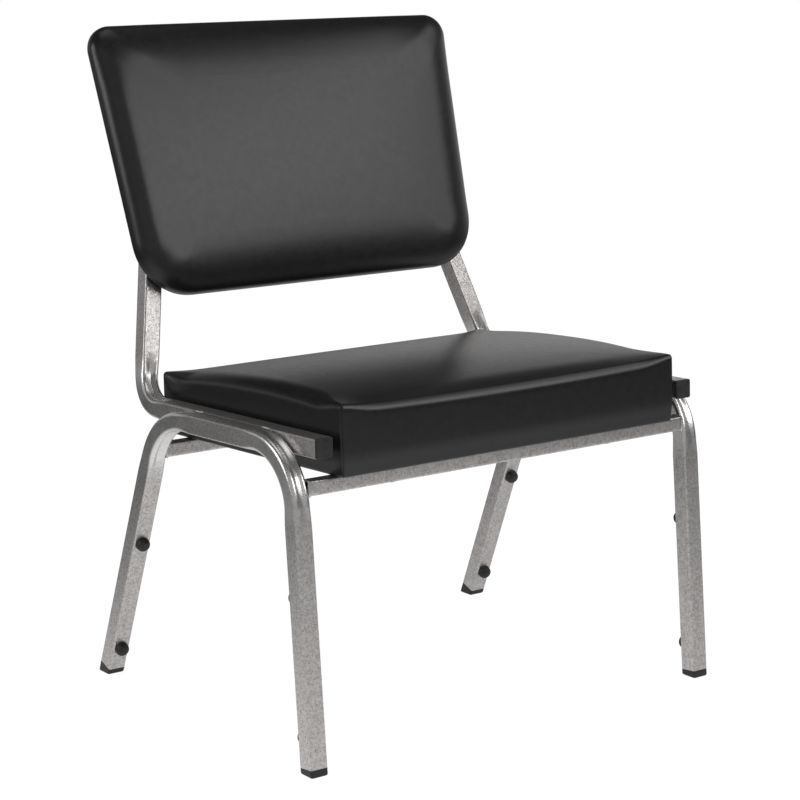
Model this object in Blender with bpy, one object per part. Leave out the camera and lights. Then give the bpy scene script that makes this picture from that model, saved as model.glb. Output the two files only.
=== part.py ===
"""Bariatric reception chair: a welded square-tube stacking frame with an upholstered seat and back.

Blender 4.5, metres, +Z up. Seen from the front, +X is to the right, and the front faces -Y.
Each pad is built in its own frame: X across, Y along the pad and Z out of its cushioned side.
"""

import math
from dataclasses import dataclass

import bmesh
import bpy
from mathutils import Matrix, Vector

MM = 0.001
ACROSS = Vector((1.0, 0.0, 0.0))

# Clearances
FIT_GAP = 0.3 * MM                    # between pieces that touch on the real chair
FOAM_GAP = 0.8 * MM                   # between a pad's foam and its cover
HOLE_CLEARANCE = 0.4 * MM             # round a stem, a bolt or a nut, on the radius

# Frame tubes
TUBE = 25.4 * MM                      # outer side of the legs, rails and uprights
TUBE_WALL = 1.5 * MM
TUBE_CORNER = 2.5 * MM
BAR = 19.05 * MM                      # outer side of the two cross tubes
BAR_WALL = 1.5 * MM
BAR_CORNER = 2.0 * MM
FRAME_WIDTH = 669.0 * MM              # over the outer faces of the leg frames

# Leg frames, in side view
REAR_REACH = 63.3 * MM                # rear leg ends behind the rails' corners
FRONT_RAKE = math.radians(5.5)        # front feet stand forward
REAR_RAKE = math.radians(21.3)        # rear feet stand back
FRONT_BEND = 80.0 * MM                # bend radii on the centre line
REAR_BEND = 100.0 * MM
GLIDE_LEAST = 8.2 * MM                # thinnest part of a glide, under the low edge of its tube

# Rails and uprights
SEAT_SLOPE = math.radians(2.4)        # falls to the rear
RAIL_HEIGHT = 421.5 * MM              # top of the rails and leg tops, at the front end of the rails
RAIL_SETBACK = 8.9 * MM               # front end of the rails behind the end of the front leg
RAIL_LENGTH = 425.0 * MM              # from the front end to where the upright's line starts
RAIL_BEND = 57.0 * MM
UPRIGHT_LEAN = math.radians(14.3)     # towards the middle, seen from the front
BACK_TILT = math.radians(17.6)
UPRIGHT_TOP_MARGIN = 45.0 * MM        # upright ends below the top edge of the back

# Seat
SEAT_DROP = 54.5 * MM                 # underside below the plane of the rail tops
SEAT_OVERHANG = 5.0 * MM              # front of the seat beyond the rail ends
SEAT_REAR_GAP = 9.5 * MM              # rear of the seat before the upright's line
SEAT_SIDE_GAP = 10.5 * MM             # to each rail
SEAT_FRONT_EDGE = 88.0 * MM           # height at the corners
SEAT_REAR_EDGE = 82.0 * MM
SEAT_SIDE_CROWN = 11.5 * MM           # added at the middle of the left and right edges
SEAT_CROWN = 18.0 * MM                # added at the middle of the seat
SEAT_CORNER = 4.0 * MM
SEAT_ROLL = 9.0 * MM                  # rounding of the upper edge
SEAT_DRAW = 3.0 * MM                  # sides drawn in at the underside
SEAT_FULL_RISE = 22.0 * MM            # sides reach full width this far above the board
SEAT_BOARD = 12.0 * MM
SEAT_LINING = 0.8 * MM                # dust cover under the seat
SEAT_BOLT_INSET = 130.0 * MM          # bolts from the ends of the cross tubes

# Back
BACK_RISE = 139.5 * MM                # lower edge above the rail's corner, along the back
BACK_HEIGHT = 373.5 * MM
BACK_SIDE_REACH = 16.5 * MM           # lower edge past the centre line of each upright
BACK_FLARE = 43.0 * MM                # upper edge wider than the lower one
BACK_EDGE = 35.0 * MM                 # thickness at the corners
BACK_SIDE_CROWN = 1.0 * MM
BACK_CROWN = 8.0 * MM
BACK_CORNER_LOW = 78.0 * MM
BACK_CORNER_HIGH = 33.0 * MM
BACK_ROLL = 16.0 * MM
BACK_DRAW = 1.5 * MM
BACK_FULL_RISE = 3.0 * MM
BACK_BOARD = 9.5 * MM
BACK_LINING = 3.0 * MM                # rear panel
BACK_BOLT_LOW = 15.0 * MM             # lower bolts above the round lower corners
BACK_BOLT_HIGH = 50.0 * MM            # upper bolts below the ends of the uprights

# Upholstery
SKIN = 1.2 * MM                       # vinyl
HEM = 18.0 * MM                       # vinyl folded under the board
LINING_INSET = 8.0 * MM               # dust cover and rear panel inside the outline

# Fittings
BOLT_SHANK = 3.0 * MM                 # radii
BOLT_HEAD = 5.5 * MM
BOLT_HEAD_CROWN = 4.6 * MM
BOLT_HEAD_HEIGHT = 1.5 * MM           # extra low head, which hardly shows below the tube
BOLT_HEAD_RIM = 0.7 * MM              # straight part of the head's side
NUT_BARREL = 4.0 * MM
NUT_FLANGE = 9.5 * MM
NUT_FLANGE_HEIGHT = 1.5 * MM
NUT_SETBACK = 1.0 * MM                # nut barrel and bolt end stop this far inside the board
BUMPER_RADIUS = 9.8 * MM
BUMPER_HEIGHT = 10.0 * MM
BUMPER_RIM = 6.0 * MM                 # straight part of the bumper's side
BUMPER_STEM = 3.6 * MM
BUMPER_STEM_REACH = 3.0 * MM          # stem inside the tube, past the wall
BUMPER_LOW = 35.5 * MM                # along the leg from its end
BUMPER_HIGH = 212.0 * MM
CAP_FLANGE = 2.5 * MM                 # visible thickness of a tube plug
CAP_INSERT = 14.0 * MM
CAP_CHAMFER = 1.0 * MM
GLIDE_INSERT = 18.0 * MM
GLIDE_CHAMFER = 2.5 * MM

# Facets
BEND_STEPS = 8
CORNER_STEPS = 2
ROUND_STEPS = 12
DOME_STEPS = 3
ROLL_STEPS = 3
EDGE_STEPS = 6
CROWN_SHRINK = (0.75, 0.5, 0.25)      # rings between the rolled edge and the middle of a pad
SMOOTH_ANGLE = math.radians(35)       # edges sharper than this stay sharp in shading

# Places that follow from the sizes
RAIL_OUTER = FRAME_WIDTH / 2 - TUBE - FIT_GAP    # inner faces of the leg frames, less the gap
RAIL_X = RAIL_OUTER - TUBE / 2
LEG_X = FRAME_WIDTH / 2 - TUBE / 2
ALONG_RAIL = Vector((0.0, math.cos(SEAT_SLOPE), -math.sin(SEAT_SLOPE)))
SEAT_NORMAL = Vector((0.0, math.sin(SEAT_SLOPE), math.cos(SEAT_SLOPE)))
RAIL_FRONT = Vector((RAIL_X, RAIL_SETBACK, RAIL_HEIGHT)) - SEAT_NORMAL * (TUBE / 2)
RAIL_CORNER = RAIL_FRONT + ALONG_RAIL * RAIL_LENGTH
FOOT_SPREAD = RAIL_CORNER.y + REAR_REACH         # between the ends of the front and rear leg
BACK_NORMAL = Vector((0.0, -math.cos(BACK_TILT), math.sin(BACK_TILT)))
ALONG_BACK = Vector((0.0, math.sin(BACK_TILT), math.cos(BACK_TILT)))
ALONG_UPRIGHT = Vector((-math.tan(UPRIGHT_LEAN), math.tan(BACK_TILT), 1.0)).normalized()
UPRIGHT_GAIN = ALONG_UPRIGHT.dot(ALONG_BACK)
UPRIGHT_RUN = BACK_RISE + BACK_HEIGHT - UPRIGHT_TOP_MARGIN - CAP_FLANGE
UPRIGHT_TOP = RAIL_CORNER + ALONG_UPRIGHT * (UPRIGHT_RUN / UPRIGHT_GAIN)


@dataclass(frozen=True)
class Pad:
    """An upholstered pad: a flat back, a rounded outline and a crowned face, in its own frame."""

    width_low: float
    width_high: float
    length: float
    corner_low: float
    corner_high: float
    edge_low: float
    edge_high: float
    side_crown: float
    crown: float
    roll: float
    draw: float
    full_rise: float
    board: float
    lining: float

    @property
    def base(self):
        """Level of the cover's folded hem, above the lining."""
        return self.lining + FIT_GAP

    @property
    def board_low(self):
        return self.base + SKIN + FIT_GAP

    @property
    def board_high(self):
        return self.board_low + self.board

    def half_width(self, y):
        return (self.width_low + (self.width_high - self.width_low) * y / self.length) / 2

    def outline(self, inset):
        """Points round the pad's outline, moved inward by inset, with round corners."""
        low = self.width_low / 2
        high = self.width_high / 2
        corners = [Vector((-low, 0)), Vector((low, 0)),
                   Vector((high, self.length)), Vector((-high, self.length))]
        radii = [self.corner_low, self.corner_low, self.corner_high, self.corner_high]
        arcs = []
        for index, corner in enumerate(corners):
            into = (corner - corners[index - 1]).normalized()
            out = (corners[(index + 1) % 4] - corner).normalized()
            arcs.append(corner_arc(corner, into, out, inset, max(radii[index] - inset, FIT_GAP)))
        points = []
        for arc, following in zip(arcs, arcs[1:] + arcs[:1]):
            points.extend(arc)
            points.extend(arc[-1].lerp(following[0], k / EDGE_STEPS) for k in range(1, EDGE_STEPS))
        return points

    def face(self, x, y):
        """Height of the crowned face over a point of the outline's plane."""
        across = 1 - min(abs(x) / self.half_width(y), 1.0) ** 2
        along = 1 - min(abs(2 * y / self.length - 1), 1.0) ** 2
        edge = self.edge_low + (self.edge_high - self.edge_low) * y / self.length
        return edge + along * (self.side_crown + (self.crown - self.side_crown) * across)

    def flat_ring(self, inset, height):
        return [Vector((p.x, p.y, height)) for p in self.outline(inset)]

    def face_ring(self, inset, drop, shrink=1.0):
        middle = Vector((0, self.length / 2))
        points = [middle + (p - middle) * shrink for p in self.outline(inset)]
        return [Vector((p.x, p.y, self.face(p.x, p.y) - drop)) for p in points]

    def surface(self, offset, floor):
        """Rings of the cushioned surface, moved inward by offset, from floor to the face's middle."""
        rings = [self.flat_ring(self.draw + offset, floor)]
        rings.append(self.flat_ring(offset, self.board_high + self.full_rise))
        for step in range(ROLL_STEPS + 1):
            turn = math.pi / 2 * step / ROLL_STEPS
            inset = self.roll - (self.roll - offset) * math.cos(turn)
            drop = self.roll - (self.roll - offset) * math.sin(turn)
            rings.append(self.face_ring(inset, drop))
        rings.extend(self.face_ring(self.roll, offset, shrink) for shrink in CROWN_SHRINK)
        middle = self.length / 2
        rings.append([Vector((0, middle, self.face(0, middle) - offset))])
        return rings


def corner_arc(corner, into, out, inset, radius):
    """Points of a round corner between two edges of an outline that runs anticlockwise."""
    normal_in = Vector((-into.y, into.x))
    normal_out = Vector((-out.y, out.x))
    moved = corner + (normal_in + normal_out) * (inset / (1 + normal_in.dot(normal_out)))
    turn = into.angle(out)
    start = moved - into * (radius * math.tan(turn / 2))
    centre = start + normal_in * radius
    steps = 2 * CORNER_STEPS
    return [centre - Matrix.Rotation(turn * k / steps, 2) @ normal_in * radius for k in range(steps + 1)]


def square_section(side, corner):
    """Points round a square with round corners, about its own centre."""
    points = []
    for quarter in range(4):
        for step in range(CORNER_STEPS + 1):
            turn = math.pi / 2 * (quarter + step / CORNER_STEPS)
            middle = math.pi / 2 * (quarter + 0.5)
            reach = (side / 2 - corner) * math.sqrt(2)
            points.append((reach * math.cos(middle) + corner * math.cos(turn),
                           reach * math.sin(middle) + corner * math.sin(turn)))
    return points


def bent_path(corners, radii):
    """Places and directions along a line through corners, with an arc at each inner corner."""
    first = (corners[1] - corners[0]).normalized()
    stations = [(corners[0], first)]
    for index, radius in enumerate(radii, start=1):
        into = (corners[index] - corners[index - 1]).normalized()
        out = (corners[index + 1] - corners[index]).normalized()
        turn = into.angle(out)
        axis = into.cross(out).normalized()
        inward = axis.cross(into)
        centre = corners[index] - into * (radius * math.tan(turn / 2)) + inward * radius
        for step in range(BEND_STEPS + 1):
            swing = Matrix.Rotation(turn * step / BEND_STEPS, 3, axis)
            stations.append((centre - swing @ inward * radius, swing @ into))
    last = (corners[-1] - corners[-2]).normalized()
    stations.append((corners[-1], last))
    return stations


def section_axes(direction):
    """Two axes of a tube's section: one as near to +X as the direction allows, one square to it."""
    side = (ACROSS - direction * ACROSS.dot(direction)).normalized()
    return side, direction.cross(side)


def section_ring(place, direction, section):
    side, up = section_axes(direction)
    return [place + side * a + up * b for a, b in section]


def loft(rings, loop=False):
    """Mesh through rings of points; a ring of one point is a pole. Open ends are closed with a face."""
    mesh = bmesh.new()
    lines = [[mesh.verts.new(point) for point in ring] for ring in rings]
    pairs = list(zip(lines, lines[1:]))
    if loop:
        pairs.append((lines[-1], lines[0]))
    for low, high in pairs:
        count = max(len(low), len(high))
        for k in range(count if count > 1 else 0):
            following = (k + 1) % count
            corners = (low[k % len(low)], low[following % len(low)],
                       high[following % len(high)], high[k % len(high)])
            mesh.faces.new(list(dict.fromkeys(corners)))
    if not loop:
        for end in (lines[0], lines[-1]):
            if len(end) > 1:
                mesh.faces.new(end)
    bmesh.ops.recalc_face_normals(mesh, faces=mesh.faces)
    return mesh


def turned(profile, loop=False):
    """Mesh turned about Z from a profile of (radius, height); a radius of zero is a pole."""
    rings = []
    for radius, height in profile:
        turns = [2 * math.pi * k / ROUND_STEPS for k in range(ROUND_STEPS if radius else 1)]
        rings.append([Vector((radius * math.cos(t), radius * math.sin(t), height)) for t in turns])
    return loft(rings, loop)


def tube_mesh(stations, side, wall, corner):
    """Hollow square tube with open ends, carried along stations."""
    outer = square_section(side, corner)
    inner = square_section(side - 2 * wall, max(corner - wall, FIT_GAP))
    rings = [section_ring(place, direction, outer) for place, direction in stations]
    rings += [section_ring(place, direction, inner) for place, direction in reversed(stations)]
    return loft(rings, loop=True)


def clear_scene():
    for item in list(bpy.data.objects):
        bpy.data.objects.remove(item, do_unlink=True)


def finish(name, colour, roughness, metallic=0.0):
    material = bpy.data.materials.new(name)
    material.use_nodes = True
    shader = material.node_tree.nodes["Principled BSDF"]
    shader.inputs["Base Color"].default_value = (*colour, 1.0)
    shader.inputs["Roughness"].default_value = roughness
    shader.inputs["Metallic"].default_value = metallic
    return material


def frame_empty(name, parent, place=Matrix.Identity(4)):
    empty = bpy.data.objects.new(name, None)
    bpy.context.scene.collection.objects.link(empty)
    empty.parent = parent
    empty.matrix_local = place
    return empty


def solid(name, mesh, material, parent, place=Matrix.Identity(4)):
    """Named object from a bmesh, placed in its parent's frame."""
    data = bpy.data.meshes.new(name)
    mesh.to_mesh(data)
    mesh.free()
    data.shade_smooth()
    data.set_sharp_from_angle(angle=SMOOTH_ANGLE)
    item = bpy.data.objects.new(name, data)
    bpy.context.scene.collection.objects.link(item)
    item.parent = parent
    item.matrix_local = place
    if material:
        data.materials.append(material)
    return item


def cutter(name, mesh, parent, place=Matrix.Identity(4)):
    item = solid(name, mesh, None, parent, place)
    item.hide_render = True
    item.display_type = "WIRE"
    return item


def cut(item, tool):
    step = item.modifiers.new("cut_" + tool.name, "BOOLEAN")
    step.operation = "DIFFERENCE"
    step.solver = "EXACT"
    step.object = tool


def facing(place, direction):
    """Frame at place whose Z runs along direction and whose X stays near +X."""
    side, up = section_axes(direction)
    return Matrix.Translation(place) @ Matrix((side, up, direction)).transposed().to_4x4()


class Finishes:
    """Materials by use, with colours read from the photograph."""

    def __init__(self):
        self.silver = finish("silver_vein_coat", (0.36, 0.34, 0.32), 0.35, 0.85)
        self.vinyl = finish("black_vinyl", (0.016, 0.016, 0.017), 0.38)
        self.plastic = finish("black_plastic", (0.012, 0.012, 0.013), 0.5)
        self.steel = finish("zinc_steel", (0.55, 0.55, 0.56), 0.3, 1.0)
        self.plywood = finish("plywood", (0.52, 0.38, 0.22), 0.7)
        self.foam = finish("foam", (0.78, 0.72, 0.52), 0.9)
        self.cloth = finish("dust_cloth", (0.02, 0.02, 0.02), 0.95)


def mirrored(point, side):
    return Vector((point.x * side, point.y, point.z))


def leg_corners(side):
    """Front foot, front bend, rear bend and rear foot of a leg frame, on its centre line."""
    front_foot = Vector((LEG_X * side, 0.0, GLIDE_LEAST + TUBE / 2 * math.sin(FRONT_RAKE)))
    rear_foot = Vector((LEG_X * side, FOOT_SPREAD, GLIDE_LEAST + TUBE / 2 * math.sin(REAR_RAKE)))
    return [front_foot, leg_meets_level(front_foot, FRONT_RAKE, RAIL_FRONT),
            leg_meets_level(rear_foot, -REAR_RAKE, RAIL_FRONT), rear_foot]


def leg_meets_level(foot, rake, level):
    """Point where a leg's centre line crosses the sloping seat plane through level."""
    up_leg = Vector((0.0, math.sin(rake), math.cos(rake)))
    height = (level - Vector((level.x, foot.y, foot.z))).dot(SEAT_NORMAL)
    return foot + up_leg * (height / up_leg.dot(SEAT_NORMAL))


def build_leg_frame(root, finishes, side, label):
    """Bent leg tube with its glides and stacking bumpers."""
    corners = leg_corners(side)
    stations = bent_path(corners, [FRONT_BEND, REAR_BEND])
    mesh = tube_mesh(stations, TUBE, TUBE_WALL, TUBE_CORNER)
    tube = solid("leg_frame_" + label, mesh, finishes.silver, root)
    for foot, knee, end in ((corners[0], corners[1], "front"), (corners[3], corners[2], "rear")):
        up_leg = (knee - foot).normalized()
        solid(f"glide_{end}_{label}", glide_mesh(foot, -up_leg), finishes.plastic, root)
        towards_other = Vector((0.0, 1.0 if end == "front" else -1.0, 0.0))
        outward = (towards_other - up_leg * towards_other.dot(up_leg)).normalized()
        for height, level in ((BUMPER_LOW, "low"), (BUMPER_HIGH, "high")):
            seat = facing(foot + up_leg * height + outward * (TUBE / 2), outward)
            name = f"bumper_{end}_{label}_{level}"
            solid(name, bumper_mesh(), finishes.plastic, root, seat)
            cut(tube, cutter(name + "_hole", bumper_hole(), root, seat))


def bumper_mesh():
    """Knob along +Z with a domed end, and a stem that runs through the tube's wall."""
    stem_end = -(TUBE_WALL + BUMPER_STEM_REACH)
    profile = [(0, stem_end), (BUMPER_STEM, stem_end), (BUMPER_STEM, FIT_GAP), (BUMPER_RADIUS, FIT_GAP)]
    for step in range(DOME_STEPS):
        turn = math.pi / 2 * step / DOME_STEPS
        rise = (BUMPER_HEIGHT - BUMPER_RIM) * math.sin(turn)
        profile.append((BUMPER_RADIUS * math.cos(turn), BUMPER_RIM + rise))
    profile.append((0, BUMPER_HEIGHT))
    return turned(profile)


def bumper_hole():
    radius = BUMPER_STEM + HOLE_CLEARANCE
    return turned([(0, -2 * TUBE_WALL), (radius, -2 * TUBE_WALL), (radius, TUBE_WALL), (0, TUBE_WALL)])


def glide_mesh(foot, down):
    """Plug in the end of a leg, with a foot that is cut level with the floor."""
    insert = square_section(TUBE - 2 * TUBE_WALL - 2 * FIT_GAP, TUBE_CORNER)
    flange = square_section(TUBE, TUBE_CORNER)
    sole = square_section(TUBE - 2 * GLIDE_CHAMFER, TUBE_CORNER)
    under_tube = foot + down * FIT_GAP
    rings = [section_ring(foot - down * GLIDE_INSERT, down, insert),
             section_ring(under_tube, down, insert),
             section_ring(under_tube, down, flange)]
    for section, level in ((flange, GLIDE_CHAMFER), (sole, 0.0)):
        ring = section_ring(foot, down, section)
        rings.append([point + down * ((level - point.z) / down.z) for point in ring])
    return loft(rings)


def plug_mesh():
    """Tube plug along +Z: its insert below zero and its flange above."""
    insert = square_section(TUBE - 2 * TUBE_WALL - 2 * FIT_GAP, TUBE_CORNER)
    flange = square_section(TUBE, TUBE_CORNER)
    face = square_section(TUBE - 2 * CAP_CHAMFER, TUBE_CORNER)
    levels = ((insert, -CAP_INSERT), (insert, FIT_GAP), (flange, FIT_GAP),
              (flange, CAP_FLANGE - CAP_CHAMFER), (face, CAP_FLANGE))
    return loft([[Vector((a, b, height)) for a, b in section] for section, height in levels])


def build_seat_rail(root, finishes, side, label):
    """Seat rail that bends up into a back upright, with its end plugs."""
    front = mirrored(RAIL_FRONT + ALONG_RAIL * CAP_FLANGE, side)
    corner = mirrored(RAIL_CORNER, side)
    top = mirrored(UPRIGHT_TOP, side)
    stations = bent_path([front, corner, top], [RAIL_BEND])
    mesh = tube_mesh(stations, TUBE, TUBE_WALL, TUBE_CORNER)
    tube = solid("seat_rail_" + label, mesh, finishes.silver, root)
    solid("rail_cap_" + label, plug_mesh(), finishes.plastic, root, facing(front, -ALONG_RAIL))
    up_end = (top - corner).normalized()
    solid("upright_plug_" + label, plug_mesh(), finishes.plastic, root, facing(top, up_end))
    return tube


def seat_pad():
    width = 2 * (RAIL_OUTER - TUBE - SEAT_SIDE_GAP)
    length = RAIL_LENGTH + SEAT_OVERHANG - SEAT_REAR_GAP
    return Pad(width_low=width, width_high=width, length=length,
               corner_low=SEAT_CORNER, corner_high=SEAT_CORNER,
               edge_low=SEAT_FRONT_EDGE, edge_high=SEAT_REAR_EDGE,
               side_crown=SEAT_SIDE_CROWN, crown=SEAT_CROWN, roll=SEAT_ROLL, draw=SEAT_DRAW,
               full_rise=SEAT_FULL_RISE, board=SEAT_BOARD, lining=SEAT_LINING)


def seat_frame():
    """Pad frame of the seat: middle of the front edge of its underside."""
    front = Vector((0.0, RAIL_FRONT.y, RAIL_FRONT.z)) + SEAT_NORMAL * (TUBE / 2 - SEAT_DROP)
    return facing(front - ALONG_RAIL * SEAT_OVERHANG, SEAT_NORMAL)


def upright_x(rise):
    """Distance of an upright's centre line from the middle, at a rise along the back."""
    return RAIL_X + ALONG_UPRIGHT.x * rise / UPRIGHT_GAIN


def back_pad():
    width_low = 2 * (upright_x(BACK_RISE) + BACK_SIDE_REACH)
    return Pad(width_low=width_low, width_high=width_low + BACK_FLARE, length=BACK_HEIGHT,
               corner_low=BACK_CORNER_LOW, corner_high=BACK_CORNER_HIGH,
               edge_low=BACK_EDGE, edge_high=BACK_EDGE,
               side_crown=BACK_SIDE_CROWN, crown=BACK_CROWN, roll=BACK_ROLL, draw=BACK_DRAW,
               full_rise=BACK_FULL_RISE, board=BACK_BOARD, lining=BACK_LINING)


def back_frame():
    """Pad frame of the back: middle of its lower edge, on the front faces of the uprights."""
    corner = Vector((0.0, RAIL_CORNER.y, RAIL_CORNER.z))
    lower_edge = corner + BACK_NORMAL * (TUBE / 2 + FIT_GAP) + ALONG_BACK * BACK_RISE
    return facing(lower_edge, BACK_NORMAL)


def build_pad(name, pad, holder, finishes, lining_name, lining_material):
    """Cover, foam, board and lining of one pad. Returns the pieces that its bolts pass through."""
    hem_low = pad.flat_ring(HEM, pad.base)
    hem_high = pad.flat_ring(HEM, pad.base + SKIN)
    outside = pad.surface(0.0, pad.base)
    inside = pad.surface(SKIN, pad.base + SKIN)
    cover = loft([hem_low, *outside, *reversed(inside), hem_high], loop=True)
    solid(name + "_cover", cover, finishes.vinyl, holder)
    stuffing = pad.surface(SKIN + FOAM_GAP, pad.board_high + FIT_GAP)
    solid(name + "_foam", loft(stuffing), finishes.foam, holder)
    board_inset = pad.draw + SKIN + FIT_GAP
    board_rings = [pad.flat_ring(board_inset, pad.board_low), pad.flat_ring(board_inset, pad.board_high)]
    board = solid(name + "_board", loft(board_rings), finishes.plywood, holder)
    lining_rings = [pad.flat_ring(LINING_INSET, 0.0), pad.flat_ring(LINING_INSET, pad.lining)]
    lining = solid(lining_name, loft(lining_rings), lining_material, holder)
    return board, lining


def build_bolt(label, pad, holder, finishes, spot, clamped, board, pierced):
    """Bolt from below a tube of depth clamped into a nut in the board, with their holes."""
    place = Matrix.Translation((*spot, 0.0))
    kind, _, number = label.partition("_")
    seat = -(FIT_GAP + clamped + FIT_GAP)
    head_end = seat - BOLT_HEAD_HEIGHT
    end = pad.board_high - NUT_SETBACK
    bolt = turned([(0, head_end), (BOLT_HEAD_CROWN, head_end), (BOLT_HEAD, seat - BOLT_HEAD_RIM),
                   (BOLT_HEAD, seat), (BOLT_SHANK, seat), (BOLT_SHANK, end), (0, end)])
    solid(f"{kind}_bolt_{number}", bolt, finishes.steel, holder, place)
    bore = BOLT_SHANK + FIT_GAP
    barrel_end = pad.board_low + NUT_SETBACK
    flange_low = pad.board_high - NUT_FLANGE_HEIGHT
    nut = turned([(bore, barrel_end), (NUT_BARREL, barrel_end), (NUT_BARREL, flange_low),
                  (NUT_FLANGE, flange_low), (NUT_FLANGE, pad.board_high), (bore, pad.board_high)], loop=True)
    solid(f"{kind}_tnut_{number}", nut, finishes.steel, holder, place)
    wide = NUT_FLANGE + HOLE_CLEARANCE
    narrow = NUT_BARREL + HOLE_CLEARANCE
    pocket_floor = flange_low - FIT_GAP
    below = pad.board_low - pad.board
    above = pad.board_high + pad.board
    pocket = turned([(0, below), (narrow, below), (narrow, pocket_floor),
                     (wide, pocket_floor), (wide, above), (0, above)])
    cut(board, cutter(f"{label}_pocket", pocket, holder, place))
    radius = BOLT_SHANK + HOLE_CLEARANCE
    hole = turned([(0, head_end), (radius, head_end), (radius, pad.board_low), (0, pad.board_low)])
    tool = cutter(f"{label}_hole", hole, holder, place)
    for piece in pierced:
        cut(piece, tool)


def crossbar_places(holder_frame):
    """Where the cross tubes lie along the seat: on the centre lines of the legs, under the seat."""
    under = seat_frame().translation - SEAT_NORMAL * (FIT_GAP + BAR / 2)
    front_foot, _, _, rear_foot = leg_corners(1)
    to_pad = holder_frame.inverted()
    spots = {}
    for name, foot, rake in (("front", front_foot, FRONT_RAKE), ("rear", rear_foot, -REAR_RAKE)):
        spots[name] = (to_pad @ leg_meets_level(foot, rake, under)).y
    return spots


def build_seat(root, finishes):
    """Seat pad on its two cross tubes, with the bolts between them."""
    pad = seat_pad()
    place = seat_frame()
    holder = frame_empty("seat", root, place)
    board, lining = build_pad("seat", pad, holder, finishes, "seat_dust_cover", finishes.cloth)
    for name, along in crossbar_places(place).items():
        level = -(FIT_GAP + BAR / 2)
        ends = [Vector((-RAIL_OUTER, along, level)), Vector((RAIL_OUTER, along, level))]
        bar = solid(name + "_crossbar", bar_mesh(ends), finishes.silver, holder)
        for side, label in ((-1, "left"), (1, "right")):
            spot = (side * (RAIL_OUTER - SEAT_BOLT_INSET), along)
            pierced = [bar, lining]
            build_bolt(f"seat_{name}_{label}", pad, holder, finishes, spot, BAR, board, pierced)


def bar_mesh(ends):
    """Straight hollow tube along X."""
    outer = square_section(BAR, BAR_CORNER)
    inner = square_section(BAR - 2 * BAR_WALL, max(BAR_CORNER - BAR_WALL, FIT_GAP))
    rings = [[end + Vector((0.0, a, b)) for a, b in outer] for end in ends]
    rings += [[end + Vector((0.0, a, b)) for a, b in inner] for end in reversed(ends)]
    return loft(rings, loop=True)


def build_back(root, finishes, rails):
    """Back pad on the front faces of the uprights, with its bolts."""
    pad = back_pad()
    holder = frame_empty("back", root, back_frame())
    board, lining = build_pad("back", pad, holder, finishes, "back_rear_panel", finishes.vinyl)
    bolt_rises = {"low": BACK_CORNER_LOW + BACK_BOLT_LOW,
                  "high": UPRIGHT_RUN - BACK_RISE - BACK_BOLT_HIGH}
    for side, label in ((-1, "left"), (1, "right")):
        for level, rise in bolt_rises.items():
            spot = (side * upright_x(BACK_RISE + rise), rise)
            pierced = [rails[label], lining]
            build_bolt(f"back_{label}_{level}", pad, holder, finishes, spot, TUBE, board, pierced)


def stand_on_origin(root):
    """Move the chair so that the middle of its floor rectangle is the origin."""
    bpy.context.view_layer.update()
    corners = [item.matrix_world @ Vector(corner) for item in bpy.data.objects
               if item.type == "MESH" and not item.hide_render for corner in item.bound_box]
    depths = [corner.y for corner in corners]
    root.location.y -= (min(depths) + max(depths)) / 2
    root.location.z -= min(corner.z for corner in corners)


def main():
    clear_scene()
    finishes = Finishes()
    root = frame_empty("chair", None)
    rails = {}
    for side, label in ((-1, "left"), (1, "right")):
        build_leg_frame(root, finishes, side, label)
        rails[label] = build_seat_rail(root, finishes, side, label)
    build_seat(root, finishes)
    build_back(root, finishes, rails)
    stand_on_origin(root)


main()
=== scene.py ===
"""Looks of a wide armless reception chair: silver-vein tube frame, black vinyl pads, plastic fittings.

Metres, +Z up, +X to the right seen from the front; the front faces -Y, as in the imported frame.
"""

import logging
import math
from dataclasses import dataclass, field, replace
from enum import Enum

import bmesh
import bpy
import numpy as np
from mathutils import Matrix, Vector


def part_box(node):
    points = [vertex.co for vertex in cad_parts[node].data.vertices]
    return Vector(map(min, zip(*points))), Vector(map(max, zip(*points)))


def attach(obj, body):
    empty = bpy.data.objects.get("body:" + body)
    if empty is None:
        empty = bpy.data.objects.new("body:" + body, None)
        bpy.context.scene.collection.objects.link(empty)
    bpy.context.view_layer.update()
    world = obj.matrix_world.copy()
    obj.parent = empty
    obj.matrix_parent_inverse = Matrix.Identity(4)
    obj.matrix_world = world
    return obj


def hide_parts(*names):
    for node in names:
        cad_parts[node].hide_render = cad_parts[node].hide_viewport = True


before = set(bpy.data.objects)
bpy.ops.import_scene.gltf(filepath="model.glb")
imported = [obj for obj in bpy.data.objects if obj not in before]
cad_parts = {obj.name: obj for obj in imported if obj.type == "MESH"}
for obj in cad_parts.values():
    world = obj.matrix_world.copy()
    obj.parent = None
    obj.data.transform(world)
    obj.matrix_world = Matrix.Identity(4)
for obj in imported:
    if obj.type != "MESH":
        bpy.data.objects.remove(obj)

LOG = logging.getLogger("reception_chair")
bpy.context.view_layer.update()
BODY = "root"
MM = 0.001
MERGE = 1e-6
SHARP_ANGLE = math.radians(35.0)
WHITE = (1.0, 1.0, 1.0)
ACROSS = np.array([1.0, 0.0, 0.0])
UPWARD = np.array([0.0, 0.0, 1.0])
TO_MIDDLE = np.array([0.0, 1.0, 1.0])  # factors that move a point to the chair's middle plane
ROUND = 2.0  # power of a superellipse that is a plain ellipse

Array = np.ndarray
Triple = tuple[float, float, float]
Colour = Triple
Four = tuple[float, float, float, float]
Socket = bpy.types.NodeSocket


class Slot(Enum):
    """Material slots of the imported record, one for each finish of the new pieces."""

    COAT = "silver_vein_coat"
    VINYL = "black_vinyl"
    PLASTIC = "black_plastic"
    ZINC = "zinc_steel"
    DUST_CLOTH = "dust_cloth"


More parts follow.
